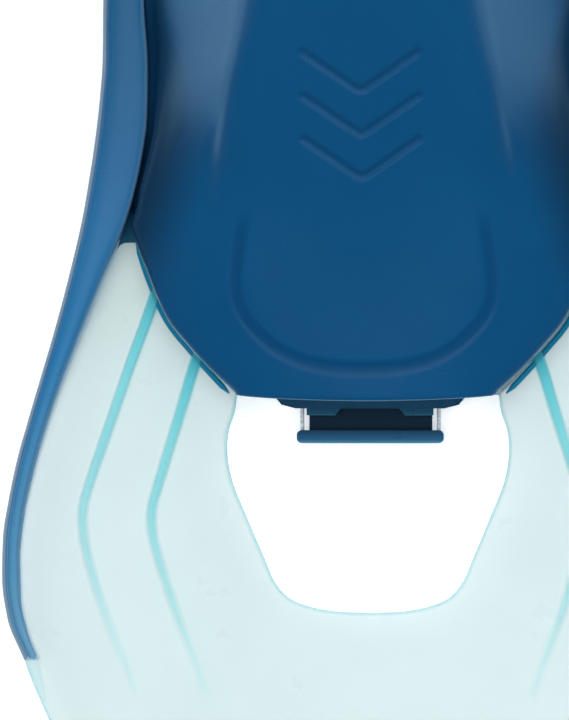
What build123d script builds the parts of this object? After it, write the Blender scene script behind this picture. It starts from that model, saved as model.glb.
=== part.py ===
from build123d import *
import os

os.makedirs("parts", exist_ok=True)

# ---------------------------------------------------------------- dimensions
# Millimetres. +X right, +Y from the blade tip to the heel, +Z up, floor at Z = 0.
TIP_Y = -215.0            # blade tip
HEEL_Y = 215.0            # back of the pull tab

BLADE_Z = 22.3            # underside of the blade root
BLADE_T = 3.2             # blade thickness at the root
BLADE_TIP_T = 1.9         # blade thickness at the tip
BLADE_TOP_Y = -7.4        # the blade root ends here, against the clamp of the under shell
WEB_Y = 4.0               # front edge of the pocket's side web
RIB_UP = 1.4              # height of the chevron ribs over the blade
RIB_DOWN = 0.7
RIB_W = 2.8

WALL = 3.2                # foot pocket wall
RIM_Y = -49.0             # toe rim
COVER_END_Y = 118.0       # back end of the pocket's side walls

PAN_Z = 10.0              # under shell
PAN_FLOOR = 12.6
FOOTBED_Z = 12.6
FOOTBED_T = 2.5

TRAY_HALF = 27.5          # sole tray
TRAY_WALL = 2.0
TRAY_Z0 = 2.5
TRAY_FLOOR = 4.0
TRAY_TOP = 11.4
TRAY_FRONT = -52.8
TRAY_REAR = 112.0
COVER_TOP = 12.6

BAR_HALF = 20.25          # latch bar
BAR_Y1 = -58.8
BAR_Y0 = -62.4
BAR_Z0, BAR_Z1 = 3.9, 10.6
TONGUE_HALF = 17.0
TONGUE_Z0, TONGUE_Z1 = 4.15, 6.15
ARM_X0, ARM_X1 = 12.5, 16.5
ARM_TOP = 9.6
ROD_X, ROD_R = 18.9, 0.6
ROD_Z = 7.6
LOCK_TRAVEL = 4.0         # bar travel
LIFT = 2.0                # pawl lift at full bar travel

PAWL_Y = 30.0             # pawl centre
PAWL_LEN = 4.0
PAWL_HALF = 7.0
PAWL_Z0, PAWL_Z1 = 4.3, 8.8
PIN_Z, PIN_R = 5.75, 1.0
SLOT_CLEAR = 0.05

PITCH = 7.0               # pitch of the slider's windows
WINDOWS = (-2, -1, 0, 1, 2)
SLIDER_Z0, SLIDER_Z1 = 9.0, 11.2
SLIDER_NARROW, SLIDER_WIDE = 10.5, 22.0
SLIDE = 14.0              # heel travel each way
STOP_Y, STOP_X, STOP_R = 85.0, 16.5, 1.5

CUP_HALF = 39.6           # heel cup
CUP_WALL = 3.0
CUP_REAR = 211.5
CUP_LOW_Y = 131.0         # front of the heel block
CUP_ARM_Y = 105.0         # front of the cup's side arms

PARTS = {}


def put(name, shape):
    """Keeps one node, as the union of its solids."""
    PARTS[name] = shape


def prism(face, z0, z1):
    return extrude(face.moved(Location((0, 0, z0))), amount=z1 - z0, dir=(0, 0, 1))


def poly_face(points):
    return make_face(Polyline(*[(x, y) for x, y in points], close=True))


def curve_face(*runs):
    """A face bounded by runs of points, each run one smooth curve or a line."""
    edges = []
    for run in runs:
        pts = [(x, y) for x, y in run]
        edges += Spline(*pts).edges() if len(pts) > 2 else Line(*pts).edges()
    return make_face(edges)


def mirrored(points):
    return [(-x, y) for x, y in reversed(points)]


def flip(shape):
    return mirror(shape, about=Plane.YZ)


def side_slab(lower, upper, half=115.0):
    """A slab across the whole width, between two curves of (Y, Z)."""
    up = Spline(*[(y, z) for y, z in upper]) if len(upper) > 2 else Line(*upper)
    lo = Spline(*[(y, z) for y, z in lower]) if len(lower) > 2 else Line(*lower)
    a = Line((lower[0][0], lower[0][1]), (upper[0][0], upper[0][1]))
    b = Line((upper[-1][0], upper[-1][1]), (lower[-1][0], lower[-1][1]))
    face = make_face([*lo.edges(), *b.edges(), *up.edges(), *a.edges()])
    return extrude(Plane.YZ * face, amount=half, both=True)


def box(x0, x1, y0, y1, z0, z1):
    return Pos((x0 + x1) / 2, (y0 + y1) / 2, (z0 + z1) / 2) * Box(x1 - x0, y1 - y0, z1 - z0)


def rod_z(x, y, z0, z1, r):
    return Pos(x, y, (z0 + z1) / 2) * Cylinder(r, z1 - z0)


def rod_y(x, z, y0, y1, r):
    return Pos(x, (y0 + y1) / 2, z) * Rot(90, 0, 0) * Cylinder(r, y1 - y0)


def rod_x(y, z, x0, x1, r):
    return Pos((x0 + x1) / 2, y, z) * Rot(0, 90, 0) * Cylinder(r, x1 - x0)


def rounded(x0, x1, y0, y1, r):
    return Pos((x0 + x1) / 2, (y0 + y1) / 2) * RectangleRounded(x1 - x0, y1 - y0, r)


# ---------------------------------------------------------------- outlines
# Left side, as (X, Y). The right side is the mirror image.
RAIL_OUT = [
    (-51.5, 112.0), (-62.5, 97.0), (-69.6, 78.0), (-71.6, 59.2), (-71.8, 42.7), (-72.6, 31.8),
    (-73.9, 20.8), (-75.6, 9.9), (-77.6, -1.1), (-80.2, -12.1), (-83.1, -23.0), (-86.3, -34.0),
    (-89.7, -44.9), (-93.1, -55.9), (-96.3, -66.8), (-98.8, -77.8), (-100.6, -88.8),
    (-101.0, -99.7), (-99.7, -110.7), (-95.5, -121.6),
]
RAIL_IN = [
    (-47.6, 106.0), (-53.5, 94.0), (-58.6, 78.0), (-60.4, 59.2), (-59.7, 42.7), (-60.3, 26.3),
    (-61.9, 15.3), (-64.4, 4.4), (-68.0, -6.6), (-72.3, -17.5), (-76.8, -28.5), (-81.3, -39.5),
    (-85.5, -50.4), (-89.2, -61.4), (-92.3, -72.3), (-94.7, -83.3), (-95.8, -94.2),
    (-95.6, -105.2), (-93.2, -116.2), (-91.0, -121.6),
]
POCKET_BASE = [
    (-44.2, 118.0), (-44.2, 88.0), (-47.5, 75.0), (-52.0, 59.0), (-55.0, 36.0), (-58.6, 16.0),
    (-63.0, 4.0), (-64.2, -1.0), (-62.7, -7.0), (-59.6, -16.2), (-54.2, -28.5), (-47.7, -36.6),
    (-40.6, -44.4), (-35.9, -49.0),
]
BLADE_EDGE = [
    (-70.4, -7.4), (-74.3, -17.5), (-78.8, -28.5), (-83.3, -39.5), (-87.5, -50.4),
    (-91.2, -61.4), (-94.3, -72.3), (-96.7, -83.3), (-97.8, -94.2), (-97.6, -105.2),
    (-96.3, -116.2), (-94.0, -126.6), (-89.2, -138.1), (-83.0, -150.0), (-75.0, -164.0),
    (-64.5, -180.0), (-50.0, -197.0), (-27.0, -210.5), (0.0, TIP_Y),
]
HOLE = [
    (-35.9, -46.0), (-36.4, -53.2), (-38.3, -59.0), (-38.6, -64.9), (-37.3, -72.6),
    (-33.2, -83.0), (-28.7, -93.7), (-25.7, -100.8), (-21.8, -104.9), (-17.0, -107.0),
    (-9.9, -108.4), (0.0, -108.9),
]
RIB_A = [
    ((-58.4, -20.5), (-55.6, -16.2)), ((-66.6, -40.0), (-63.4, -40.0)),
    ((-71.8, -55.9), (-68.4, -55.9)), ((-79.8, -78.4), (-76.6, -78.4)),
    ((-79.6, -89.3), (-76.6, -89.3)), ((-73.2, -110.7), (-71.0, -110.7)),
    ((-65.6, -129.9), (-64.2, -129.9)),
]
RIB_B = [
    ((-48.6, -38.4), (-45.6, -35.4)), ((-52.7, -53.2), (-49.9, -53.2)),
    ((-60.6, -78.4), (-57.6, -78.4)), ((-60.6, -87.4), (-57.6, -87.4)),
    ((-53.8, -110.7), (-51.6, -110.7)), ((-45.8, -131.2), (-44.4, -131.2)),
]

# ---------------------------------------------------------------- blade
BEND_Y = -50.0            # the blade is level behind this line and leans down before it


def blade_slab(down, up):
    """The blade's thickness as a slab: level at the root, then a gentle fall to the tip."""
    lo = [(BEND_Y, BLADE_Z - down), (-110.0, 15.9 - down), (-220.0, 1.5 - down)]
    hi = [
        (BEND_Y, BLADE_Z + BLADE_T + up),
        (-110.0, 15.9 + BLADE_T * 0.72 + BLADE_TIP_T * 0.28 + up),
        (-220.0, 1.5 + BLADE_TIP_T + up),
    ]
    lower = Spline(*lo, tangents=[(-1, 0), (-1, -0.135)])
    upper = Spline(*hi, tangents=[(-1, 0), (-1, -0.141)])
    edges = [
        *Line((20, BLADE_Z - down), lo[0]).edges(),
        *lower.edges(),
        *Line(lo[-1], hi[-1]).edges(),
        *upper.edges(),
        *Line(hi[0], (20, BLADE_Z + BLADE_T + up)).edges(),
        *Line((20, BLADE_Z + BLADE_T + up), (20, BLADE_Z - down)).edges(),
    ]
    return extrude(Plane.YZ * make_face(edges), amount=115, both=True)


blade_plan = curve_face(
    BLADE_EDGE + mirrored(BLADE_EDGE)[1:],
    [(70.4, BLADE_TOP_Y), (-70.4, BLADE_TOP_Y)],
)
hole_plan = curve_face(HOLE + mirrored(HOLE)[1:], [(35.9, -46.0), (-35.9, -46.0)])
blade = prism(blade_plan, -5, 60) & blade_slab(0, 0)


def rib(pairs):
    left = [a for a, b in pairs]
    right = [b for a, b in pairs]
    face = make_face(
        [
            *Polyline(*left).edges(),
            *Line(left[-1], right[-1]).edges(),
            *Polyline(*reversed(right)).edges(),
            *Line(right[0], left[0]).edges(),
        ]
    )
    return prism(face, -5, 60) & blade_slab(RIB_DOWN, RIB_UP)


# The blade's own edge rib runs on past the end of the rail and tapers out.
edge_end = poly_face(
    [(-95.6, -120.6), (-93.6, -127.2), (-90.9, -133.8), (-90.0, -133.6), (-89.4, -126.0), (-90.6, -120.6)]
)
edge_rib = prism(edge_end, -5, 60) & blade_slab(1.2, 1.6)
for extra in (rib(RIB_A), rib(RIB_B), edge_rib):
    blade = blade + extra + flip(extra)

# ---------------------------------------------------------------- foot pocket
# Stations: Y, base half width, ridge half width, top height, flank shape.
POCKET = [
    (118.0, 44.2, 25.0, 92.2, (0.0, 0.38, 0.26, 0.55)),
    (104.0, 44.2, 25.0, 91.0, (0.0, 0.38, 0.26, 0.54)),
    (88.0, 44.2, 25.2, 87.9, (0.0, 0.37, 0.26, 0.54)),
    (75.0, 47.5, 26.2, 83.9, (0.01, 0.38, 0.31, 0.57)),
    (59.0, 52.0, 28.5, 77.6, (0.02, 0.40, 0.40, 0.62)),
    (36.0, 55.0, 34.2, 68.5, (0.07, 0.42, 0.46, 0.64)),
    (16.0, 58.6, 38.0, 61.0, (0.11, 0.50, 0.57, 0.70)),
    (4.0, 63.0, 39.0, 57.2, (0.11, 0.50, 0.56, 0.71)),
    (-7.0, 62.7, 36.0, 54.0, (0.08, 0.54, 0.50, 0.74)),
    (-16.2, 59.6, 32.0, 51.5, (0.07, 0.56, 0.46, 0.77)),
    (-28.5, 54.2, 28.5, 48.3, (0.06, 0.60, 0.44, 0.81)),
    (-36.6, 47.7, 25.0, 46.5, (0.06, 0.64, 0.43, 0.84)),
    (-44.4, 40.6, 21.5, 44.8, (0.06, 0.70, 0.42, 0.87)),
    (-49.0, 35.9, 19.0, 43.9, (0.06, 0.73, 0.41, 0.89)),
]


def section(y, wb, wt, top, shape, base):
    a1, b1, a2, b2 = shape
    rise = top - base
    right = [
        (wb, base),
        (wb - a1 * (wb - wt), base + b1 * rise),
        (wb - a2 * (wb - wt), base + b2 * rise),
        (wt - 1.0, top - 1.4),
        (wt * 0.5, top - 0.1),
    ]
    pts = right + [(0, top + 0.5)] + [(-x, z) for x, z in reversed(right)]
    face = make_face([*Spline(*pts).edges(), *Line(pts[-1], pts[0]).edges()])
    return Plane(origin=(0, y, 0), x_dir=(1, 0, 0), z_dir=(0, -1, 0)) * face


def pocket_loft(inset, base, first=None, last=None):
    rows = [(y, wb - inset, wt - inset * 0.8, top - inset, s) for y, wb, wt, top, s in POCKET]
    if first is not None:
        rows[0] = (first, *rows[0][1:])
    if last is not None:
        y, wb, wt, top, s = rows[-1]
        rows.append((last, wb - 0.2, wt, top, s))
    return loft([section(y, wb, wt, top, s, base) for y, wb, wt, top, s in rows])


outer = pocket_loft(0.0, BLADE_Z)
inner = pocket_loft(WALL, BLADE_Z - 2.0, first=122.0, last=-54.0)
instep = side_slab(
    [(88.0, 99.0), (89.5, 84.0), (95.0, 66.0), (105.0, 53.0), (124.0, 46.0)],
    [(88.0, 110.0), (124.0, 110.0)],
)

base_plan = curve_face(
    POCKET_BASE[1:7] + POCKET_BASE[7:],
    [POCKET_BASE[-1], (35.9, -49.0)],
    mirrored(POCKET_BASE[1:]),
    [(44.2, 88.0), (44.2, 118.0)],
    [(44.2, 118.0), (-44.2, 118.0)],
    [(-44.2, 118.0), (-44.2, 88.0)],
)
between_rails = curve_face(
    RAIL_IN,
    [RAIL_IN[-1], (91.0, -121.6)],
    mirrored(RAIL_IN),
    [(47.6, 106.0), (-47.6, 106.0)],
)
def base_inset(d):
    """The plan of the pocket's base, moved inwards by d."""
    pts = POCKET_BASE[1:]
    moved = []
    for i, (x, y) in enumerate(pts):
        ax, ay = pts[max(i - 1, 0)]
        bx, by = pts[min(i + 1, len(pts) - 1)]
        tx, ty = bx - ax, by - ay
        n = (tx * tx + ty * ty) ** 0.5
        if i == 0:
            tx, ty, n = 0.0, -1.0, 1.0
        moved.append((x - ty / n * d, y + tx / n * d))
    end = moved[-1]
    return curve_face(
        moved,
        [end, (-end[0], end[1])],
        mirrored(moved),
        [(-moved[0][0], 88.0), (-moved[0][0], 118.0)],
        [(-moved[0][0], 118.0), (moved[0][0], 118.0)],
        [(moved[0][0], 118.0), (moved[0][0], 88.0)],
    )


# Web of the pocket, from the base of the flanks out to the rails.
web_plate = prism(between_rails, BLADE_Z, 25.4) & box(-90, 90, WEB_Y, 104.0, 20, 30)
foot_pocket = (outer + web_plate) - inner - instep

blade = blade - prism(hole_plan, -5, 60) - prism(base_inset(1.2), 15, 40) - outer
blade = max(blade.solids(), key=lambda s: s.volume)

# ---------------------------------------------------------------- rails
rail_plan = curve_face(RAIL_OUT, [RAIL_OUT[-1], RAIL_IN[-1]], list(reversed(RAIL_IN)), [RAIL_IN[0], RAIL_OUT[0]])
rail_slab = side_slab(
    [(114.0, 18.0), (90.0, 15.0), (55.0, 14.0), (0.0, 14.5), (-50.0, 16.5), (-90.0, 13.6), (-122.0, 9.9)],
    [(114.0, 34.0), (90.0, 39.0), (55.0, 40.5), (0.0, 38.0), (-50.0, 31.2), (-90.0, 24.4), (-122.0, 18.2)],
)
rail_left = (prism(rail_plan, 5, 60) & rail_slab) - blade
rail_left = max(rail_left.solids(), key=lambda s: s.volume)

# ---------------------------------------------------------------- under shell
pan_out = prism(base_plan, PAN_Z, BLADE_Z)
blade = blade - pan_out
blade = max(blade.solids(), key=lambda s: s.volume)
inset_plan = base_inset(WALL)
pan_in = prism(inset_plan, PAN_FLOOR, BLADE_Z + 1) + box(-31.5, 31.5, -60, -40, PAN_FLOOR, BLADE_Z + 1) + box(-41, 41, 100, 130, PAN_FLOOR, BLADE_Z + 1)
flange = prism(between_rails, BLADE_Z - 2.5, BLADE_Z) & box(-90, 90, -7.4, 104.0, 10, 30)
clamp = prism(between_rails, BLADE_Z - 1.0, 25.2) & box(-90, 90, BLADE_TOP_Y, WEB_Y, 10, 30)
clamp = clamp - prism(base_inset(1.2), 15, 40) - outer
under_shell = (pan_out + flange + clamp) - pan_in - box(-TRAY_HALF, TRAY_HALF, -60, 130, 0, PAN_FLOOR)
under_shell = under_shell & box(-100, 100, -60, TRAY_REAR, 0, 60)

rail_right = flip(rail_left)

# ---------------------------------------------------------------- sole tray
def nose_plan(inset):
    """Plan of the tray, whose front corners slant in two steps."""
    x, y = TRAY_HALF - inset, TRAY_FRONT + inset
    k = 0.41 * inset
    left = [(-20.5 + k, y), (-24.4 + k, y + 1.0), (-x, y + 4.6 - k), (-x, TRAY_REAR)]
    return poly_face(left + mirrored(left))


tray = prism(rounded(-TRAY_HALF, TRAY_HALF, TRAY_FRONT - 4.0, TRAY_REAR, 3.0), TRAY_Z0, TRAY_TOP) & prism(nose_plan(0.0), 0, 20)
hollow = box(-TRAY_HALF + TRAY_WALL, TRAY_HALF - TRAY_WALL, TRAY_FRONT + 1.6, TRAY_REAR - 2.0, TRAY_FLOOR, TRAY_TOP + 1)
hollow = hollow & prism(nose_plan(1.6), 0, 20)
tray = tray - hollow
for s in (-1, 1):
    # slider guides and shelves, screw bosses
    tray = tray + box(min(s * 22.1, s * 26.0), max(s * 22.1, s * 26.0), 50, TRAY_REAR - 1, TRAY_FLOOR, TRAY_TOP)
    tray = tray + box(min(s * 19.5, s * 22.5), max(s * 19.5, s * 22.5), 50, TRAY_REAR - 1, TRAY_FLOOR, SLIDER_Z0 - 0.05)
    for y in (-38.0, 36.0):
        tray = tray + rod_z(s * 24.4, y, TRAY_FLOOR, TRAY_TOP, 2.6)
for y0, y1 in ((PAWL_Y - 4.8, PAWL_Y - 2.1), (PAWL_Y + 2.1, PAWL_Y + 4.8)):
    tray = tray + box(-10.5, 10.5, y0, y1, TRAY_FLOOR, SLIDER_Z0 - 0.3)
# tongue mouth, rod holes, slider mouth
tray = tray - box(-TONGUE_HALF - 0.1, TONGUE_HALF + 0.1, TRAY_FRONT - 1, TRAY_FRONT + 3, TRAY_FLOOR, TONGUE_Z1 + 0.2)
for s in (-1, 1):
    tray = tray - rod_y(s * ROD_X, ROD_Z, TRAY_FRONT - 1, TRAY_FRONT + 3, ROD_R + 0.05)
tray = tray - box(-SLIDER_WIDE - 0.1, SLIDER_WIDE + 0.1, TRAY_REAR - 4, TRAY_REAR + 1, SLIDER_Z0 - 0.1, TRAY_TOP + 1)
# guide tabs that the bar comes to rest against
for s in (-1, 1):
    tab = poly_face([(s * 8.0, TRAY_FRONT + 1), (s * 8.0, TRAY_FRONT), (s * 9.6, -54.7), (s * 17.5, -54.7), (s * 17.5, TRAY_FRONT + 1)])
    tray = tray + prism(tab, TONGUE_Z1 + 0.35, TRAY_TOP)
screws_at = [(s * 24.4, y) for s in (-1, 1) for y in (-38.0, 36.0, 104.0)]
for x, y in screws_at:
    tray = tray - rod_z(x, y, 4.6, 13, 1.1)
for s in (-1, 1):
    tray = tray - rod_z(s * STOP_X, STOP_Y, 3.0, 5.0, STOP_R)
# anchor post of the detent spring
tray = tray + box(-24.5, -22.3, -22.0, -17.0, TRAY_FLOOR, 8.6) - box(-23.6, -23.1, -23.0, -16.0, 4.6, 9.0)

# ---------------------------------------------------------------- cover, screws, stops
cover = prism(rounded(-TRAY_HALF, TRAY_HALF, TRAY_FRONT - 4.0, TRAY_REAR, 2.0), TRAY_TOP, COVER_TOP) & prism(nose_plan(0.5), 0, 20)
screws = None
for x, y in screws_at:
    head = Pos(x, y, COVER_TOP - 0.5) * Cone(1.1, 2.1, 1.0)
    screw = head + rod_z(x, y, 5.0, COVER_TOP - 1.0, 1.1)
    drive = box(x - 1.4, x + 1.4, y - 0.25, y + 0.25, COVER_TOP - 0.5, COVER_TOP + 1)
    cover = cover - screw - rod_z(x, y, TRAY_TOP - 1, COVER_TOP + 1, 1.1)
    screw = screw - drive
    screws = screw if screws is None else screws + screw
stops = None
for s in (-1, 1):
    pin = rod_z(s * STOP_X, STOP_Y, 3.0, TRAY_TOP, STOP_R)
    stops = pin if stops is None else stops + pin

# ---------------------------------------------------------------- footbed
foot_plan = base_inset(WALL + 0.6)
footbed = prism(foot_plan, FOOTBED_Z, FOOTBED_Z + FOOTBED_T) & box(-80, 80, -47.0, TRAY_REAR, 0, 40)
footbed = footbed & (prism(foot_plan, 0, 40))
for i in range(9):
    y = -36.0 + 16.0 * i
    footbed = footbed - box(-26, 26, y, y + 2.0, FOOTBED_Z + FOOTBED_T - 0.8, 40)

# ---------------------------------------------------------------- outsole
pads = None
for y0, y1 in ((-44.0, 22.0), (52.0, 108.0)):
    pad = prism(rounded(-24.5, 24.5, y0, y1, 6.0), 0, TRAY_Z0)
    y = y0 + 9
    while y < y1 - 8:
        pad = pad - box(-30, 30, y, y + 2.2, -1, 1.2)
        y += 9.0
    pads = pad if pads is None else pads + pad

# ---------------------------------------------------------------- latch
bar = prism(rounded(-BAR_HALF, BAR_HALF, BAR_Y0, BAR_Y1, 1.4), BAR_Z0, BAR_Z1)
tongue = box(-TONGUE_HALF, TONGUE_HALF, BAR_Y1 - 1.0, PAWL_Y - 9.3, TONGUE_Z0, TONGUE_Z1)
lock_bar = bar + tongue
for s in (-1, 1):
    x0, x1 = sorted((s * ARM_X0, s * ARM_X1))
    arm = box(x0, x1, PAWL_Y - 20.0, PAWL_Y + 2.6, TONGUE_Z0, ARM_TOP)
    arm = arm - box(x0 - 1, x1 + 1, PAWL_Y - 21.0, PAWL_Y - 10.0, TONGUE_Z1, ARM_TOP + 1)
    # inclined cam slot for the pawl's pin
    r = PIN_R + SLOT_CLEAR
    slot = rod_x(PAWL_Y, PIN_Z, x0 - 1, x1 + 1, r) + rod_x(PAWL_Y - LOCK_TRAVEL, PIN_Z + LIFT, x0 - 1, x1 + 1, r)
    dy, dz = -LOCK_TRAVEL, LIFT
    n = (dy * dy + dz * dz) ** 0.5
    ny, nz = -dz / n * r, dy / n * r
    quad = [
        (PAWL_Y + ny, PIN_Z + nz), (PAWL_Y + dy + ny, PIN_Z + dz + nz),
        (PAWL_Y + dy - ny, PIN_Z + dz - nz), (PAWL_Y - ny, PIN_Z - nz),
    ]
    band = extrude(Plane.YZ * make_face(Polyline(*quad, close=True)), amount=40, both=True) & box(x0 - 1, x1 + 1, 0, 60, 0, 20)
    lock_bar = lock_bar + arm - slot - band
# relief through the tongue, and the two detent notches on its left edge
lock_bar = lock_bar - box(-9.0, 9.0, -30.0, 8.0, 3, 7)
for y in (-30.0, -30.0 - LOCK_TRAVEL):
    lock_bar = lock_bar - rod_z(-TONGUE_HALF - 0.5, y, 3, 7, 1.1)
rods = None
for s in (-1, 1):
    lock_bar = lock_bar - rod_y(s * ROD_X, ROD_Z, BAR_Y0 + 1.2, BAR_Y1 + 1, ROD_R)
    wire = rod_y(s * ROD_X, ROD_Z, BAR_Y0 + 1.2, -40.5, ROD_R)
    rods = wire if rods is None else rods + wire

# ---------------------------------------------------------------- pawl
pawl = box(-PAWL_HALF, PAWL_HALF, PAWL_Y - PAWL_LEN / 2, PAWL_Y + PAWL_LEN / 2, PAWL_Z0, PAWL_Z1)
pawl = pawl - rod_x(PAWL_Y, PIN_Z, -20, 20, PIN_R)
pawl_pin = rod_x(PAWL_Y, PIN_Z, -ARM_X1, ARM_X1, PIN_R)

# ---------------------------------------------------------------- detent spring
# A flat strip held in the post, with a round nose beside the tongue.
spring = box(-23.6, -23.1, -22.0, -17.0, 4.6, 8.2)
strip = poly_face([(-23.6, -22.0), (-23.1, -22.0), (-18.15, -29.0), (-17.9, -30.0), (-18.15, -31.0), (-19.4, -32.6), (-19.85, -32.3), (-18.75, -30.8), (-18.6, -30.0), (-18.75, -29.2)])
spring = spring + prism(strip, 4.6, 6.6)
nose = rod_z(-17.95, -30.0, 4.6, 6.6, 0.8)
spring = spring + nose

# ---------------------------------------------------------------- heel
front = PAWL_Y + WINDOWS[0] * PITCH - 2.2 - 4.0
slider = prism(rounded(-SLIDER_NARROW, SLIDER_NARROW, front, 80.0, 1.5), SLIDER_Z0, SLIDER_Z1)
slider = slider + prism(rounded(-SLIDER_WIDE, SLIDER_WIDE, 64.0, 150.0, 2.0), SLIDER_Z0, SLIDER_Z1)
for k in WINDOWS:
    y = PAWL_Y + k * PITCH
    slider = slider - box(-PAWL_HALF - 0.3, PAWL_HALF + 0.3, y - 2.2, y + 2.2, 0, 20)
for s in (-1, 1):
    long_slot = box(s * STOP_X - STOP_R - 0.06, s * STOP_X + STOP_R + 0.06, STOP_Y - SLIDE, STOP_Y + SLIDE, 0, 20)
    for y in (STOP_Y - SLIDE, STOP_Y + SLIDE):
        long_slot = long_slot + rod_z(s * STOP_X, y, 0, 20, STOP_R + 0.06)
    slider = slider - long_slot


def heel_plan(half, y0, rear, corner=0.0):
    """A straight-sided shape with a round back."""
    c = rear - half
    return make_face(
        [
            *Line((-half, y0), (half, y0)).edges(),
            *Line((half, y0), (half, c)).edges(),
            *ThreePointArc((half, c), (0, rear), (-half, c)).edges(),
            *Line((-half, c), (-half, y0)).edges(),
        ]
    )


IN = CUP_HALF - CUP_WALL
block = prism(heel_plan(IN, CUP_LOW_Y, CUP_REAR - CUP_WALL), 3.6, SLIDER_Z1)
block = block - prism(heel_plan(IN - 2.2, CUP_LOW_Y + 2.2, CUP_REAR - CUP_WALL - 2.2), 3.0, SLIDER_Z0)
for x in (-12.0, 12.0):
    block = block + box(x - 0.9, x + 0.9, CUP_LOW_Y + 1, 200.0, 3.6, SLIDER_Z0 + 0.5)
block = block + box(-IN + 1, IN - 1, 168.0, 169.8, 3.6, SLIDER_Z0 + 0.5)
slider = slider + block

cup_wall = prism(heel_plan(CUP_HALF, CUP_ARM_Y, CUP_REAR), 3.6, 75) - prism(heel_plan(IN, CUP_ARM_Y - 5, CUP_REAR - CUP_WALL), 0, 80)
cup_top = side_slab(
    [(100.0, 34.0), (112.0, 39.5), (140.0, 44.0), (175.0, 52.0), (200.0, 63.0), (213.0, 68.0)],
    [(100.0, 90.0), (213.0, 90.0)],
)
cup_wall = cup_wall - cup_top - box(-60, 60, 90.0, CUP_LOW_Y, 0, 15.6)
cup_floor = prism(heel_plan(IN + 0.5, CUP_LOW_Y, CUP_REAR - CUP_WALL + 0.5), SLIDER_Z1, SLIDER_Z1 + 2.0)
heel_cup = cup_wall + cup_floor
heel_pad = prism(heel_plan(IN - 0.4, CUP_LOW_Y + 1.0, CUP_REAR - CUP_WALL - 0.4), SLIDER_Z1 + 2.0, FOOTBED_Z + FOOTBED_T)
for i in range(4):
    y = 143.0 + 14.0 * i
    heel_pad = heel_pad - box(-20, 20, y, y + 2.0, FOOTBED_Z + FOOTBED_T - 0.8, 40)
heel_outsole = prism(heel_plan(CUP_HALF, CUP_LOW_Y, CUP_REAR), 0, 3.6)
for i in range(7):
    y = 141.0 + 9.0 * i
    heel_outsole = heel_outsole - box(-60, 60, y, y + 2.2, -1, 1.2)

heel_screws = None
for x in (-24.0, 24.0):
    for y in (145.0, 185.0):
        head = rod_z(x, y, SLIDER_Z0 - 1.6, SLIDER_Z0, 2.7)
        head = head - box(x - 1.8, x + 1.8, y - 0.35, y + 0.35, 7, 8.2)
        shank = rod_z(x, y, SLIDER_Z0 - 0.1, SLIDER_Z1 + 1.6, 1.5)
        slider = slider - rod_z(x, y, 8, 14, 1.5)
        heel_cup = heel_cup - rod_z(x, y, 8, SLIDER_Z1 + 1.6, 1.5)
        one = head + shank
        heel_screws = one if heel_screws is None else heel_screws + one

tab_face = Pos(0, 71.0) * RectangleRounded(24.0, 46.0, 9.0) - Pos(0, 80.5) * RectangleRounded(14.0, 16.0, 5.0)
pull_tab = extrude(Plane(origin=(0, HEEL_Y, 0), x_dir=(1, 0, 0), z_dir=(0, -1, 0)) * tab_face, amount=6.5)
pull_tab = pull_tab - prism(heel_plan(CUP_HALF, CUP_ARM_Y, CUP_REAR), 0, 100)
pull_tab = pull_tab & box(-20, 20, CUP_REAR - 3.0, HEEL_Y, 40, 100)

# ---------------------------------------------------------------- nodes
put("blade", blade)
put("side_rail_left", rail_left)
put("side_rail_right", rail_right)
put("foot_pocket", foot_pocket)
put("under_shell_left", min(under_shell.solids(), key=lambda q: q.center().X))
put("under_shell_right", max(under_shell.solids(), key=lambda q: q.center().X))
put("sole_tray", tray)
put("slider_cover", cover)
put("cover_screws", screws)
put("stop_pins", stops)
put("footbed", footbed)
put("outsole_pads", pads)
put("detent_spring", spring)
put("lock_bar", lock_bar)
put("guide_rods", rods)
put("lock_pawl", pawl)
put("pawl_pin", pawl_pin)
put("heel_slider", slider)
put("heel_cup", heel_cup)
put("heel_pad", heel_pad)
put("heel_outsole", heel_outsole)
put("heel_screws", heel_screws)
put("heel_pull_tab", pull_tab)

for name, shape in PARTS.items():
    solids = shape.solids()
    whole = solids[0] if len(solids) == 1 else Compound(children=list(solids))
    export_step(whole, f"parts/{name}.step")
    bb = whole.bounding_box()
    print(f"{name:18s} solids {len(solids)} volume {sum(s.volume for s in solids):10.1f} "
          f"x {bb.min.X:7.1f} {bb.max.X:7.1f} y {bb.min.Y:7.1f} {bb.max.Y:7.1f} z {bb.min.Z:6.1f} {bb.max.Z:6.1f}")
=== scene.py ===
import math

import bpy
import numpy as np
from mathutils import Matrix, Vector


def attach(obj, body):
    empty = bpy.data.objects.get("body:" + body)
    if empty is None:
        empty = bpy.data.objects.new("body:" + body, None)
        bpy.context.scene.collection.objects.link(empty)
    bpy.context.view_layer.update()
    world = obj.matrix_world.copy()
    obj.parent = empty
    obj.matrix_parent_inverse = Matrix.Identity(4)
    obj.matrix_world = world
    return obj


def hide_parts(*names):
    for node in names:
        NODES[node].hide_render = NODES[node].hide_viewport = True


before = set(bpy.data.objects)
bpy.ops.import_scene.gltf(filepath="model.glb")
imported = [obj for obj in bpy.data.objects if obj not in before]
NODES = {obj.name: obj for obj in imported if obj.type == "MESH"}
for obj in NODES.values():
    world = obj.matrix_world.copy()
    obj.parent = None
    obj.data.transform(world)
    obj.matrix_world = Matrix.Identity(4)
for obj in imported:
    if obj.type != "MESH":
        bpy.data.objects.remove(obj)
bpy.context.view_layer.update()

MM = 0.001


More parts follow.
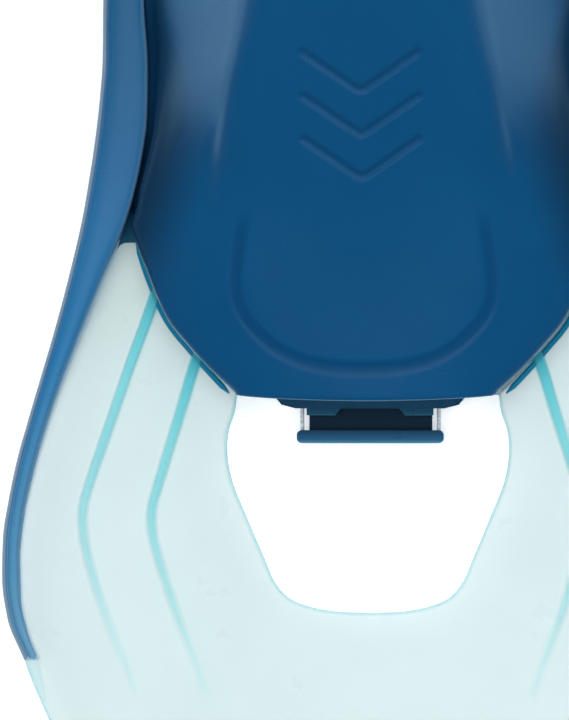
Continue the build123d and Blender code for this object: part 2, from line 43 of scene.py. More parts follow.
# ------------------------------------------------------------------ small maths
def smooth_path(points, n, closed=False):
    """n points along a centripetal Catmull-Rom curve through the points, evenly spaced."""
    p = np.array(points, float)
    if closed:
        ext = np.vstack([p[-1], p, p[0], p[1]])
    else:
        ext = np.vstack([2 * p[0] - p[1], p, 2 * p[-1] - p[-2]])
    out = []
    for i in range(1, len(ext) - 2):
        p0, p1, p2, p3 = ext[i - 1], ext[i], ext[i + 1], ext[i + 2]
        d = [max(np.linalg.norm(b - a), 1e-9) ** 0.5 for a, b in ((p0, p1), (p1, p2), (p2, p3))]
        t0, t1 = 0.0, d[0]
        t2 = t1 + d[1]
        t3 = t2 + d[2]
        t = np.linspace(t1, t2, 24, endpoint=False)[:, None]
        a1 = (t1 - t) / (t1 - t0) * p0 + (t - t0) / (t1 - t0) * p1
        a2 = (t2 - t) / (t2 - t1) * p1 + (t - t1) / (t2 - t1) * p2
        a3 = (t3 - t) / (t3 - t2) * p2 + (t - t2) / (t3 - t2) * p3
        b1 = (t2 - t) / (t2 - t0) * a1 + (t - t0) / (t2 - t0) * a2
        b2 = (t3 - t) / (t3 - t1) * a2 + (t - t1) / (t3 - t1) * a3
        out.append((t2 - t) / (t2 - t1) * b1 + (t - t1) / (t2 - t1) * b2)
    q = np.vstack(out + [ext[-2][None, :]])
    return even(q, n)


def even(q, n):
    """n points evenly spaced along the polyline q."""
    s = np.concatenate([[0], np.cumsum(np.linalg.norm(np.diff(q, axis=0), axis=1))])
    t = np.linspace(0, s[-1], n)
    return np.stack([np.interp(t, s, q[:, k]) for k in range(q.shape[1])], 1)


def hermite(xs, ys):
    """A smooth curve y(x) through the points, without overshoot."""
    xs, ys = np.array(xs, float), np.array(ys, float)
    if xs[0] > xs[-1]:
        xs, ys = xs[::-1], ys[::-1]
    d = np.diff(ys) / np.diff(xs)
    m = np.zeros_like(ys)
    m[0], m[-1] = d[0], d[-1]
    for i in range(1, len(ys) - 1):
        if d[i - 1] * d[i] > 0:
            w1 = 2 * (xs[i + 1] - xs[i]) + (xs[i] - xs[i - 1])
            w2 = (xs[i + 1] - xs[i]) + 2 * (xs[i] - xs[i - 1])
            m[i] = (w1 + w2) / (w1 / d[i - 1] + w2 / d[i])

    def f(x):
        x = np.clip(np.asarray(x, float), xs[0], xs[-1])
        i = np.clip(np.searchsorted(xs, x) - 1, 0, len(xs) - 2)
        h = xs[i + 1] - xs[i]
        t = (x - xs[i]) / h
        return (
            ys[i] * (1 + 2 * t) * (1 - t) ** 2
            + m[i] * h * t * (1 - t) ** 2
            + ys[i + 1] * t * t * (3 - 2 * t)
            + m[i + 1] * h * t * t * (t - 1)
        )

    return f


def smoothstep(a, b, x):
    t = np.clip((np.asarray(x, float) - a) / (b - a), 0, 1)
    return t * t * (3 - 2 * t)


def to_line(pts, line):
    """Distance from each point to a polyline, and how far along it is (0 to 1)."""
    pts, line = np.asarray(pts, float), np.asarray(line, float)
    seg = np.diff(line, axis=0)
    ln = np.linalg.norm(seg, axis=1)
    acc = np.concatenate([[0], np.cumsum(ln)])
    best = np.full(len(pts), 1e9)
    along = np.zeros(len(pts))
    for i in range(len(seg)):
        rel = pts - line[i]
        t = np.clip((rel @ seg[i]) / max(ln[i] ** 2, 1e-12), 0, 1)
        d = np.linalg.norm(rel - t[:, None] * seg[i], axis=1)
        near = d < best
        best[near] = d[near]
        along[near] = (acc[i] + t[near] * ln[i]) / acc[-1]
    return best, along


# ------------------------------------------------------------------ mesh helpers
def mesh_piece(name, verts, faces, mat, body, replaces=(), slot=None, smooth=True, attrs=None, flat_over=None):
    """A mesh from points in millimetres, which rides on a body."""
    me = bpy.data.meshes.new(name)
    me.from_pydata([tuple(v) for v in np.asarray(verts, float) * MM], [], [tuple(f) for f in faces])
    me.validate()
    for key, values in (attrs or {}).items():
        a = me.attributes.new(key, "FLOAT", "POINT")
        a.data.foreach_set("value", np.asarray(values, np.float32))
    ob = bpy.data.objects.new(name, me)
    bpy.context.scene.collection.objects.link(ob)
    me.materials.append(mat)
    if smooth:
        me.polygons.foreach_set("use_smooth", [True] * len(me.polygons))
    if flat_over is not None:
        sharp_edges(ob, flat_over)
    fix_normals(ob)
    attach(ob, body)
    if replaces:
        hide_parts(*replaces)
    return ob


def fix_normals(ob):
    import bmesh
    bm = bmesh.new()
    bm.from_mesh(ob.data)
    bmesh.ops.recalc_face_normals(bm, faces=bm.faces)
    bm.to_mesh(ob.data)
    bm.free()


def sharp_edges(ob, angle):
    import bmesh
    bm = bmesh.new()
    bm.from_mesh(ob.data)
    for e in bm.edges:
        if len(e.link_faces) == 2 and e.calc_face_angle(0) > math.radians(angle):
            e.smooth = False
    bm.to_mesh(ob.data)
    bm.free()


def grid_faces(rows, cols, wrap_rows=False, wrap_cols=False, offset=0):
    f = []
    for i in range(rows if wrap_rows else rows - 1):
        for j in range(cols if wrap_cols else cols - 1):
            a = i * cols + j
            b = i * cols + (j + 1) % cols
            c = ((i + 1) % rows) * cols + (j + 1) % cols
            d = ((i + 1) % rows) * cols + j
            f.append((a + offset, b + offset, c + offset, d + offset))
    return f


def tube(name, path, radius, mat, body, sides=10, **kw):
    """A round bead along a path of 3-D points in millimetres, with closed ends."""
    p = np.array(path, float)
    t = np.gradient(p, axis=0)
    t /= np.linalg.norm(t, axis=1)[:, None]
    up = np.array([0, 0, 1.0])
    side = np.cross(t, up)
    bad = np.linalg.norm(side, axis=1) < 1e-4
    side[bad] = (1, 0, 0)
    side /= np.linalg.norm(side, axis=1)[:, None]
    nor = np.cross(side, t)
    r = np.full(len(p), radius) if np.isscalar(radius) else np.asarray(radius)
    ang = np.linspace(0, 2 * np.pi, sides, endpoint=False)
    v = (p[:, None, :] + r[:, None, None] * (np.cos(ang)[None, :, None] * side[:, None, :] + np.sin(ang)[None, :, None] * nor[:, None, :])).reshape(-1, 3)
    f = grid_faces(len(p), sides, wrap_cols=True)
    n = len(v)
    v = np.vstack([v, p[0], p[-1]])
    for j in range(sides):
        f.append((n, (j + 1) % sides, j))
        f.append((n + 1, (len(p) - 1) * sides + j, (len(p) - 1) * sides + (j + 1) % sides))
    return mesh_piece(name, v, f, mat, body, **kw)


def slab_from_outline(name, outline, z0, z1, mat, body, edge=0.8, top=None, rings=3, **kw):
    """A solid with a plan outline (millimetres), vertical sides and rounded edges.
    top(x, y) may lift the top face. The faces are filled from the outline by rings."""
    o = np.array(outline, float)
    n = len(o)
    nxt, prv = np.roll(o, -1, 0), np.roll(o, 1, 0)
    t = nxt - prv
    t /= np.maximum(np.linalg.norm(t, axis=1), 1e-9)[:, None]
    nrm = np.stack([t[:, 1], -t[:, 0]], 1)
    area = 0.5 * np.sum(o[:, 0] * nxt[:, 1] - nxt[:, 0] * o[:, 1])
    if area < 0:
        nrm = -nrm
    loops = []
    for k in range(rings + 1):
        a = math.pi / 2 * k / rings
        loops.append((o - nrm * edge * (1 - math.sin(a)), z0 + edge * (1 - math.cos(a))))
    for k in range(rings + 1):
        a = math.pi / 2 * k / rings
        loops.append((o - nrm * edge * (1 - math.cos(a)), z1 - edge * (1 - math.sin(a))))
    verts = []
    for xy, z in loops:
        zz = np.full(n, z)
        if top is not None and z > (z0 + z1) / 2:
            zz = zz + top(xy[:, 0], xy[:, 1])
        verts.append(np.column_stack([xy, zz]))
    v = np.vstack(verts)
    f = grid_faces(len(loops), n, wrap_cols=True)
    f.append(tuple(range(n - 1, -1, -1)))
    f.append(tuple((len(loops) - 1) * n + j for j in range(n)))
    ob = mesh_piece(name, v, f, mat, body, **kw)
    return ob


# ------------------------------------------------------------------ materials
def srgb(r, g, b):
    def lin(c):
        c /= 255.0
        return c / 12.92 if c <= 0.04045 else ((c + 0.055) / 1.055) ** 2.4
    return (lin(r), lin(g), lin(b), 1.0)


class Mat:
    """A node material, built up step by step."""

    def __init__(self, name):
        self.m = bpy.data.materials.new(name)
        self.m.use_nodes = True
        self.nt = self.m.node_tree
        self.nt.nodes.clear()
        self.out = self.nt.nodes.new("ShaderNodeOutputMaterial")
        self.p = self.nt.nodes.new("ShaderNodeBsdfPrincipled")
        self.nt.links.new(self.p.outputs[0], self.out.inputs[0])
        self.tc = self.nt.nodes.new("ShaderNodeTexCoord")

    def node(self, kind, **settings):
        n = self.nt.nodes.new(kind)
        for k, v in settings.items():
            setattr(n, k, v)
        return n

    def link(self, a, b):
        self.nt.links.new(a, b)

    def noise(self, scale, detail=3.0, rough=0.55, stretch=None):
        n = self.node("ShaderNodeTexNoise")
        n.inputs["Scale"].default_value = scale
        n.inputs["Detail"].default_value = detail
        n.inputs["Roughness"].default_value = rough
        if stretch:
            mp = self.node("ShaderNodeMapping")
            mp.inputs["Scale"].default_value = stretch
            self.link(self.tc.outputs["Object"], mp.inputs["Vector"])
            self.link(mp.outputs[0], n.inputs["Vector"])
        else:
            self.link(self.tc.outputs["Object"], n.inputs["Vector"])
        return n.outputs["Fac"]

    def ramp(self, fac, stops, interpolation="LINEAR"):
        r = self.node("ShaderNodeValToRGB")
        r.color_ramp.interpolation = interpolation
        els = r.color_ramp.elements
        while len(els) > 1:
            els.remove(els[-1])
        els[0].position, els[0].color = stops[0]
        for pos, col in stops[1:]:
            e = els.new(pos)
            e.color = col
        self.link(fac, r.inputs[0])
        return r.outputs[0]

    def mix(self, fac, a, b, blend="MIX"):
        n = self.node("ShaderNodeMix", data_type="RGBA", blend_type=blend)
        for sock, val in ((n.inputs["Factor"], fac), (n.inputs["A"], a), (n.inputs["B"], b)):
            pass
        fs = [s for s in n.inputs if s.name == "Factor" and s.type == "VALUE"][0]
        sa = [s for s in n.inputs if s.name == "A" and s.type == "RGBA"][0]
        sb = [s for s in n.inputs if s.name == "B" and s.type == "RGBA"][0]
        for s, v in ((fs, fac), (sa, a), (sb, b)):
            if hasattr(v, "is_linked"):
                self.link(v, s)
            else:
                s.default_value = v
        return [s for s in n.outputs if s.type == "RGBA"][0]

    def math(self, op, a, b=None, clamp=False):
        n = self.node("ShaderNodeMath", operation=op, use_clamp=clamp)
        for s, v in ((n.inputs[0], a), (n.inputs[1], b)):
            if v is None:
                continue
            if hasattr(v, "is_linked"):
                self.link(v, s)
            else:
                s.default_value = v
        return n.outputs[0]

    def range(self, v, a, b, c, d):
        n = self.node("ShaderNodeMapRange")
        self.link(v, n.inputs[0])
        for i, x in enumerate((a, b, c, d)):
            n.inputs[i + 1].default_value = x
        return n.outputs[0]

    def axis(self, which):
        s = self.node("ShaderNodeSeparateXYZ")
        self.link(self.tc.outputs["Object"], s.inputs[0])
        return s.outputs["XYZ".index(which)]

    def attr(self, name):
        a = self.node("ShaderNodeAttribute", attribute_name=name)
        return a.outputs["Fac"]

    def bump(self, height, strength, distance, normal=None):
        b = self.node("ShaderNodeBump")
        b.inputs["Strength"].default_value = strength
        b.inputs["Distance"].default_value = distance
        self.link(height, b.inputs["Height"])
        if normal is not None:
            self.link(normal, b.inputs["Normal"])
        return b.outputs[0]

    def color(self, v):
        s = self.p.inputs["Base Color"]
        self.link(v, s) if hasattr(v, "is_linked") else setattr(s, "default_value", v)

    def rough(self, v):
        s = self.p.inputs["Roughness"]
        self.link(v, s) if hasattr(v, "is_linked") else setattr(s, "default_value", v)

    def normal(self, v):
        self.link(v, self.p.inputs["Normal"])


def scaled(c, k):
    return (c[0] * k, c[1] * k, c[2] * k, 1.0)


def rubber(name, base, rough=(0.30, 0.44), grain=0.12, coat=0.0, along=None, spec=0.42):
    """Moulded rubber: slow colour drift, satin gloss that varies, a fine moulded grain and faint scuffs."""
    m = Mat(name)
    big = m.noise(22.0, 4.0)
    col = m.ramp(big, [(0.30, scaled(base, 0.95)), (0.70, scaled(base, 1.05))])
    if along:
        col2 = m.ramp(m.range(m.axis("Y"), along[0], along[1], 0, 1), along[2])
        col = m.mix(m.math("MULTIPLY", big, 0.25), col2, col)
    fine = m.noise(900.0, 2.0)
    col = m.mix(m.range(fine, 0.35, 0.75, 0.0, 0.05), col, scaled(base, 1.3))
    m.color(col)
    smear = m.noise(26.0, 2.0, 0.5)
    m.rough(m.range(smear, 0.25, 0.75, rough[0], rough[1]))
    n1 = m.bump(m.noise(1400.0, 2.0), grain, 0.00012)
    n2 = m.bump(m.noise(45.0, 3.0), 0.05, 0.0006, n1)
    m.normal(n2)
    m.p.inputs["Specular IOR Level"].default_value = spec
    if coat:
        m.p.inputs["Coat Weight"].default_value = coat
        m.p.inputs["Coat Roughness"].default_value = 0.25
    return m


def plastic(name, base, rough=(0.25, 0.38)):
    """Injection moulded plastic: flow marks, small wear and a fine spark-eroded texture."""
    m = Mat(name)
    flow = m.noise(35.0, 4.0, 0.5, stretch=(1.0, 0.25, 1.0))
    col = m.ramp(flow, [(0.25, scaled(base, 0.94)), (0.75, scaled(base, 1.06))])
    m.color(col)
    m.rough(m.range(m.noise(120.0, 4.0), 0.3, 0.7, rough[0], rough[1]))
    m.normal(m.bump(m.noise(2200.0, 2.0), 0.10, 0.0001))
    m.p.inputs["Specular IOR Level"].default_value = 0.34
    return m


def steel(name, stretch=(1.0, 40.0, 1.0)):
    m = Mat(name)
    n = m.noise(300.0, 4.0, 0.6, stretch=stretch)
    m.color(m.ramp(n, [(0.3, (0.42, 0.43, 0.45, 1)), (0.7, (0.72, 0.73, 0.75, 1))]))
    m.rough(m.range(n, 0.3, 0.7, 0.18, 0.34))
    m.p.inputs["Metallic"].default_value = 1.0
    m.normal(m.bump(n, 0.12, 0.0001))
    return m


def foam(name, base):
    m = Mat(name)
    v = m.node("ShaderNodeTexVoronoi")
    v.inputs["Scale"].default_value = 700.0
    m.link(m.tc.outputs["Object"], v.inputs["Vector"])
    col = m.ramp(v.outputs["Distance"], [(0.0, scaled(base, 0.7)), (0.6, scaled(base, 1.25))])
    m.color(m.mix(m.range(m.noise(30.0, 4.0), 0.3, 0.7, 0.0, 0.35), col, scaled(base, 1.6)))
    m.rough(0.75)
    m.normal(m.bump(v.outputs["Distance"], 0.35, 0.0003))
    return m



POCKET = rubber("pocket_rubber_look", (0.0022, 0.068, 0.182, 1), rough=(0.22, 0.30), grain=0.06, spec=0.60)
RAIL = rubber(
    "rail_rubber_look", (0.022, 0.115, 0.27, 1), rough=(0.30, 0.42),
    along=(-0.122, 0.06, [
        (0.0, (0.10, 0.26, 0.44, 1)), (0.12, (0.045, 0.18, 0.36, 1)), (0.45, (0.018, 0.135, 0.31, 1)),
        (0.8, (0.020, 0.10, 0.225, 1)), (1.0, (0.022, 0.098, 0.20, 1)),
    ]),
)
CUP = rubber("cup_rubber_look", (0.0030, 0.074, 0.185, 1), rough=(0.28, 0.40), grain=0.12)
SHELL = plastic("shell_look", (0.0008, 0.115, 0.215, 1), rough=(0.35, 0.5))
TRAY = plastic("tray_look", (0.0020, 0.060, 0.135, 1), rough=(0.26, 0.34))
BAR = plastic("bar_look", (0.0085, 0.092, 0.200, 1), rough=(0.24, 0.30))
SOLE = rubber("outsole_look", (0.006, 0.022, 0.045, 1), rough=(0.5, 0.7), grain=0.35)
FOAM = foam("footbed_look", (0.012, 0.035, 0.06, 1))
STEEL = steel("steel_look")
SEAM = rubber("seam_look", (0.0015, 0.20, 0.36, 1), rough=(0.3, 0.4))


TRIM = plastic("trim_look", (0.0012, 0.072, 0.150, 1), rough=(0.35, 0.5))


def bar_painted_light_material():
    """Latch bar with painted light: a painted highlight makes the outer face of the pull edge paler, and painted shade
    puts the tongue behind it in a darker, duller tone.
    """
    m = plastic("bar_look_painted_light", (0.0065, 0.088, 0.200, 1), rough=(0.26, 0.34))
    src = m.p.inputs["Base Color"].links[0].from_socket
    y = m.axis("Y")
    # painted shade: the back of the bar darkens towards the tongue
    src = m.mix(m.range(y, -0.0612, -0.0592, 0.0, 0.75), src, (0.0015, 0.030, 0.075, 1))
    # painted highlight: the outer face of the pull edge is painted paler
    pull_edge_highlight = m.mix(m.range(y, -0.0625, -0.0613, 0.85, 0.0), src, (0.060, 0.270, 0.400, 1))
    # painted shade: the tongue, sunk behind the bar under the toe, is painted much darker
    m.color(m.mix(m.range(y, -0.0592, -0.0586, 0.0, 0.93), pull_edge_highlight, (0.0015, 0.0150, 0.032, 1)))
    return m


def tray_painted_light_material():
    """Sole tray with painted light: a paler painted band on top of the tray's leading ledge and a painted highlight
    along its leading edge; darker inside.
    """
    m = plastic("tray_look_painted_light", (0.0008, 0.046, 0.112, 1), rough=(0.26, 0.34))
    src = m.p.inputs["Base Color"].links[0].from_socket
    y, z = m.axis("Y"), m.axis("Z")
    # painted light: the top of the leading ledge is painted paler
    ledge_light_mask = m.math("MULTIPLY", m.range(y, -0.0545, -0.0515, 1.0, 0.0), m.range(z, 0.0095, 0.0112, 0.0, 1.0))
    col = m.mix(m.math("MULTIPLY", ledge_light_mask, 0.6), src, (0.002, 0.092, 0.175, 1))
    # painted highlight: a pale line along the leading edge
    m.color(m.mix(m.range(y, -0.0549, -0.0543, 0.8, 0.0), col, (0.020, 0.200, 0.300, 1)))
    return m


def blade_material():
    """Translucent elastomer: pale, deeper in colour where it is thick, satin, with a faint grain."""
    m = Mat("blade_look")
    rib, edge, root = m.attr("rib"), m.attr("edge"), m.attr("root")
    cloud = m.noise(18.0, 4.0)
    base = m.ramp(cloud, [(0.3, (0.72, 0.80, 0.80, 1)), (0.7, (0.77, 0.84, 0.845, 1))])
    base = m.mix(root, base, (0.70, 0.79, 0.74, 1))
    base = m.mix(edge, base, (0.30, 0.70, 0.76, 1))
    ribc = m.ramp(rib, [(0.0, (0.66, 0.84, 0.85, 1)), (0.5, (0.22, 0.66, 0.72, 1)), (1.0, (0.022, 0.44, 0.54, 1))])
    col = m.mix(m.math("MULTIPLY", rib, 4.0, clamp=True), base, ribc)
    m.color(col)
    m.rough(m.range(m.noise(80.0, 4.0), 0.3, 0.7, 0.26, 0.40))
    n1 = m.bump(m.noise(1500.0, 2.0), 0.08, 0.0001)
    m.normal(m.bump(m.noise(60.0, 3.0), 0.06, 0.0005, n1))
    m.p.inputs["Specular IOR Level"].default_value = 0.45
    clear = m.node("ShaderNodeBsdfTransparent")
    tint = m.mix(m.math("MULTIPLY", rib, 1.6, clamp=True), (0.87, 0.935, 0.94, 1), (0.42, 0.86, 0.88, 1))
    m.link(tint, clear.inputs[0])
    mixer = m.node("ShaderNodeMixShader")
    solid = m.math("ADD", m.math("MULTIPLY", rib, 0.18), 0.46, clamp=True)
    m.link(solid, mixer.inputs[0])
    m.link(clear.outputs[0], mixer.inputs[1])
    m.link(m.p.outputs[0], mixer.inputs[2])
    m.link(mixer.outputs[0], m.out.inputs[0])
    return m


BLADE = blade_material()
ROD = steel("rod_look", stretch=(1.0, 6.0, 1.0))
ROD.color(ROD.ramp(ROD.noise(260.0, 3.0, 0.5, stretch=(1.0, 6.0, 1.0)), [(0.3, (0.66, 0.70, 0.72, 1)), (0.7, (0.86, 0.88, 0.89, 1))]))
ROD.p.inputs["Metallic"].default_value = 0.25
BAR_PAINTED_LIGHT_M = bar_painted_light_material()
TRAY_PAINTED_LIGHT_M = tray_painted_light_material()

# ------------------------------------------------------------------ outlines (mm)
RAIL_OUT = [
    (-51.5, 112.0), (-62.5, 97.0), (-69.6, 78.0), (-71.6, 59.2), (-71.8, 42.7), (-72.6, 31.8),
    (-73.9, 20.8), (-75.6, 9.9), (-77.6, -1.1), (-80.2, -12.1), (-83.1, -23.0), (-86.3, -34.0),
    (-89.7, -44.9), (-93.1, -55.9), (-96.3, -66.8), (-98.8, -77.8), (-100.6, -88.8),
    (-101.0, -99.7), (-99.7, -110.7), (-95.5, -121.6),
]
RAIL_IN = [
    (-47.6, 106.0), (-53.5, 94.0), (-58.6, 78.0), (-60.4, 59.2), (-59.7, 42.7), (-60.3, 26.3),
    (-61.9, 15.3), (-64.4, 4.4), (-68.0, -6.6), (-72.3, -17.5), (-76.8, -28.5), (-81.3, -39.5),
    (-85.5, -50.4), (-89.2, -61.4), (-92.3, -72.3), (-94.7, -83.3), (-95.8, -94.2),
    (-95.6, -105.2), (-93.2, -116.2), (-91.0, -121.6),
]
rail_out = hermite([p[1] for p in RAIL_OUT], [p[0] for p in RAIL_OUT])
_rail_in = hermite([p[1] for p in RAIL_IN], [p[0] for p in RAIL_IN])


def rail_in(y):
    return _rail_in(y) + 0.7 * smoothstep(-20.0, 0.0, y) * (1 - smoothstep(20.0, 60.0, y))


RAIL_TOP = hermite([114, 90, 55, 0, -50, -90, -122], [34.0, 39.0, 40.5, 38.0, 31.2, 24.4, 18.2])
RAIL_BOT = hermite([114, 90, 55, 0, -50, -90, -122], [18.0, 15.0, 14.0, 14.5, 16.5, 13.6, 9.9])

BLADE_UNDER = hermite([20, -50, -80, -110, -165, -220], [22.3, 22.3, 19.7, 15.9, 8.8, 1.5])
BLADE_THICK = hermite([20, -50, -220], [3.2, 3.2, 1.9])

# Pocket sections: Y, top height, then the crest and four points down the flank, and the end.
POCKET_ROWS = [
    (118.0, 92.3, (24.0, 90.8), (31.2, 77.0), (38.4, 62.5), (43.4, 51.0), (44.3, 42.0), (44.4, 25.4)),
    (104.0, 91.0, (24.0, 89.6), (31.4, 75.8), (38.8, 61.0), (44.0, 50.0), (45.8, 41.0), (48.9, 31.0)),
    (88.0, 87.9, (24.2, 86.5), (32.4, 72.0), (40.6, 58.6), (47.6, 48.0), (52.0, 40.6), (55.2, 36.2)),
    (75.0, 83.9, (25.2, 82.4), (33.0, 69.8), (41.0, 57.8), (48.5, 48.0), (55.0, 41.0), (59.2, 37.0)),
    (59.0, 77.6, (27.4, 76.1), (35.0, 66.2), (42.5, 56.6), (50.0, 47.6), (56.3, 40.6), (60.5, 36.4)),
    (46.0, 72.4, (30.4, 70.9), (37.0, 62.6), (44.0, 53.8), (50.5, 45.8), (56.0, 39.2), (60.0, 34.6)),
    (36.0, 68.5, (33.2, 66.8), (39.0, 60.0), (45.5, 52.3), (51.5, 45.3), (56.2, 39.8), (60.2, 34.6)),
    (25.0, 64.3, (35.7, 61.9), (41.2, 56.3), (47.0, 50.5), (52.5, 45.1), (57.0, 40.4), (60.6, 33.8)),
    (16.0, 61.0, (37.0, 57.0), (43.6, 52.6), (49.4, 48.0), (54.6, 43.8), (58.8, 39.8), (61.9, 31.4)),
    (4.0, 57.2, (37.5, 53.6), (45.0, 49.8), (51.6, 46.0), (57.2, 42.6), (61.4, 39.6), (64.5, 30.4)),
    (-3.0, 55.2, (37.5, 52.2), (45.2, 48.6), (52.0, 45.2), (58.0, 42.0), (62.2, 39.4), (63.8, 25.4)),
    (-7.0, 54.0, (37.5, 51.2), (44.8, 48.0), (51.4, 44.8), (57.2, 41.8), (61.3, 39.2), (62.7, 25.4)),
    (-16.2, 51.5, (38.0, 48.6), (44.0, 45.8), (50.0, 42.6), (55.0, 39.4), (58.6, 36.8), (59.6, 25.4)),
    (-28.5, 48.3, (35.0, 46.2), (40.0, 44.4), (45.4, 42.2), (50.0, 39.8), (53.2, 37.8), (54.2, 25.4)),
    (-36.6, 46.5, (31.0, 45.1), (35.6, 43.6), (40.4, 41.8), (44.2, 40.0), (46.8, 38.4), (47.7, 25.4)),
    (-44.4, 44.8, (26.5, 43.9), (30.6, 42.8), (34.6, 41.4), (37.8, 40.0), (39.8, 38.6), (40.6, 25.4)),
    (-49.0, 43.9, (23.5, 43.2), (27.2, 42.3), (30.8, 41.2), (33.6, 40.0), (35.2, 38.8), (35.9, 25.4)),
]
_y = [r[0] for r in POCKET_ROWS]
_top_fit = np.polyfit(_y, [r[1] for r in POCKET_ROWS], 5)
_fl = [(hermite(_y, [r[k][0] for r in POCKET_ROWS]), hermite(_y, [r[k][1] for r in POCKET_ROWS])) for k in range(2, 8)]
WT = _fl[0][0]
WB = hermite(
    [118.0, 104.0, 88.0, 75.0, 59.0, 46.0, 36.0, 25.0, 16.0, 4.0, -3.0, -7.0, -16.2, -28.5, -36.6, -44.4, -49.0],
    [44.2, 44.2, 44.2, 47.5, 52.0, 53.6, 55.0, 57.0, 58.6, 62.4, 63.8, 62.7, 59.6, 54.2, 47.7, 40.6, 35.9],
)


def TOP(y):
    return np.polyval(_top_fit, np.asarray(y, float))


# ------------------------------------------------------------------ blade
RIB_A = [(-57.2, -18.6), (-61.0, -29.5), (-64.7, -39.5), (-69.9, -54.5), (-76.6, -73.6), (-78.3, -79.5), (-78.6, -84.0), (-78.1, -88.8), (-76.9, -94.8), (-72.1, -110.7), (-68.6, -119.5), (-64.7, -129.9)]
RIB_B = [(-46.2, -37.2), (-48.0, -42.5), (-51.2, -53.2), (-57.6, -73.6), (-59.2, -79.0), (-59.6, -83.5), (-59.2, -87.8), (-57.6, -94.2), (-52.3, -110.7), (-49.0, -119.3), (-44.9, -131.2)]
RIB_SPECS = [(smooth_path(RIB_A, 160), 1.55, 1.0), (smooth_path(RIB_B, 160), 1.55, 1.0)]


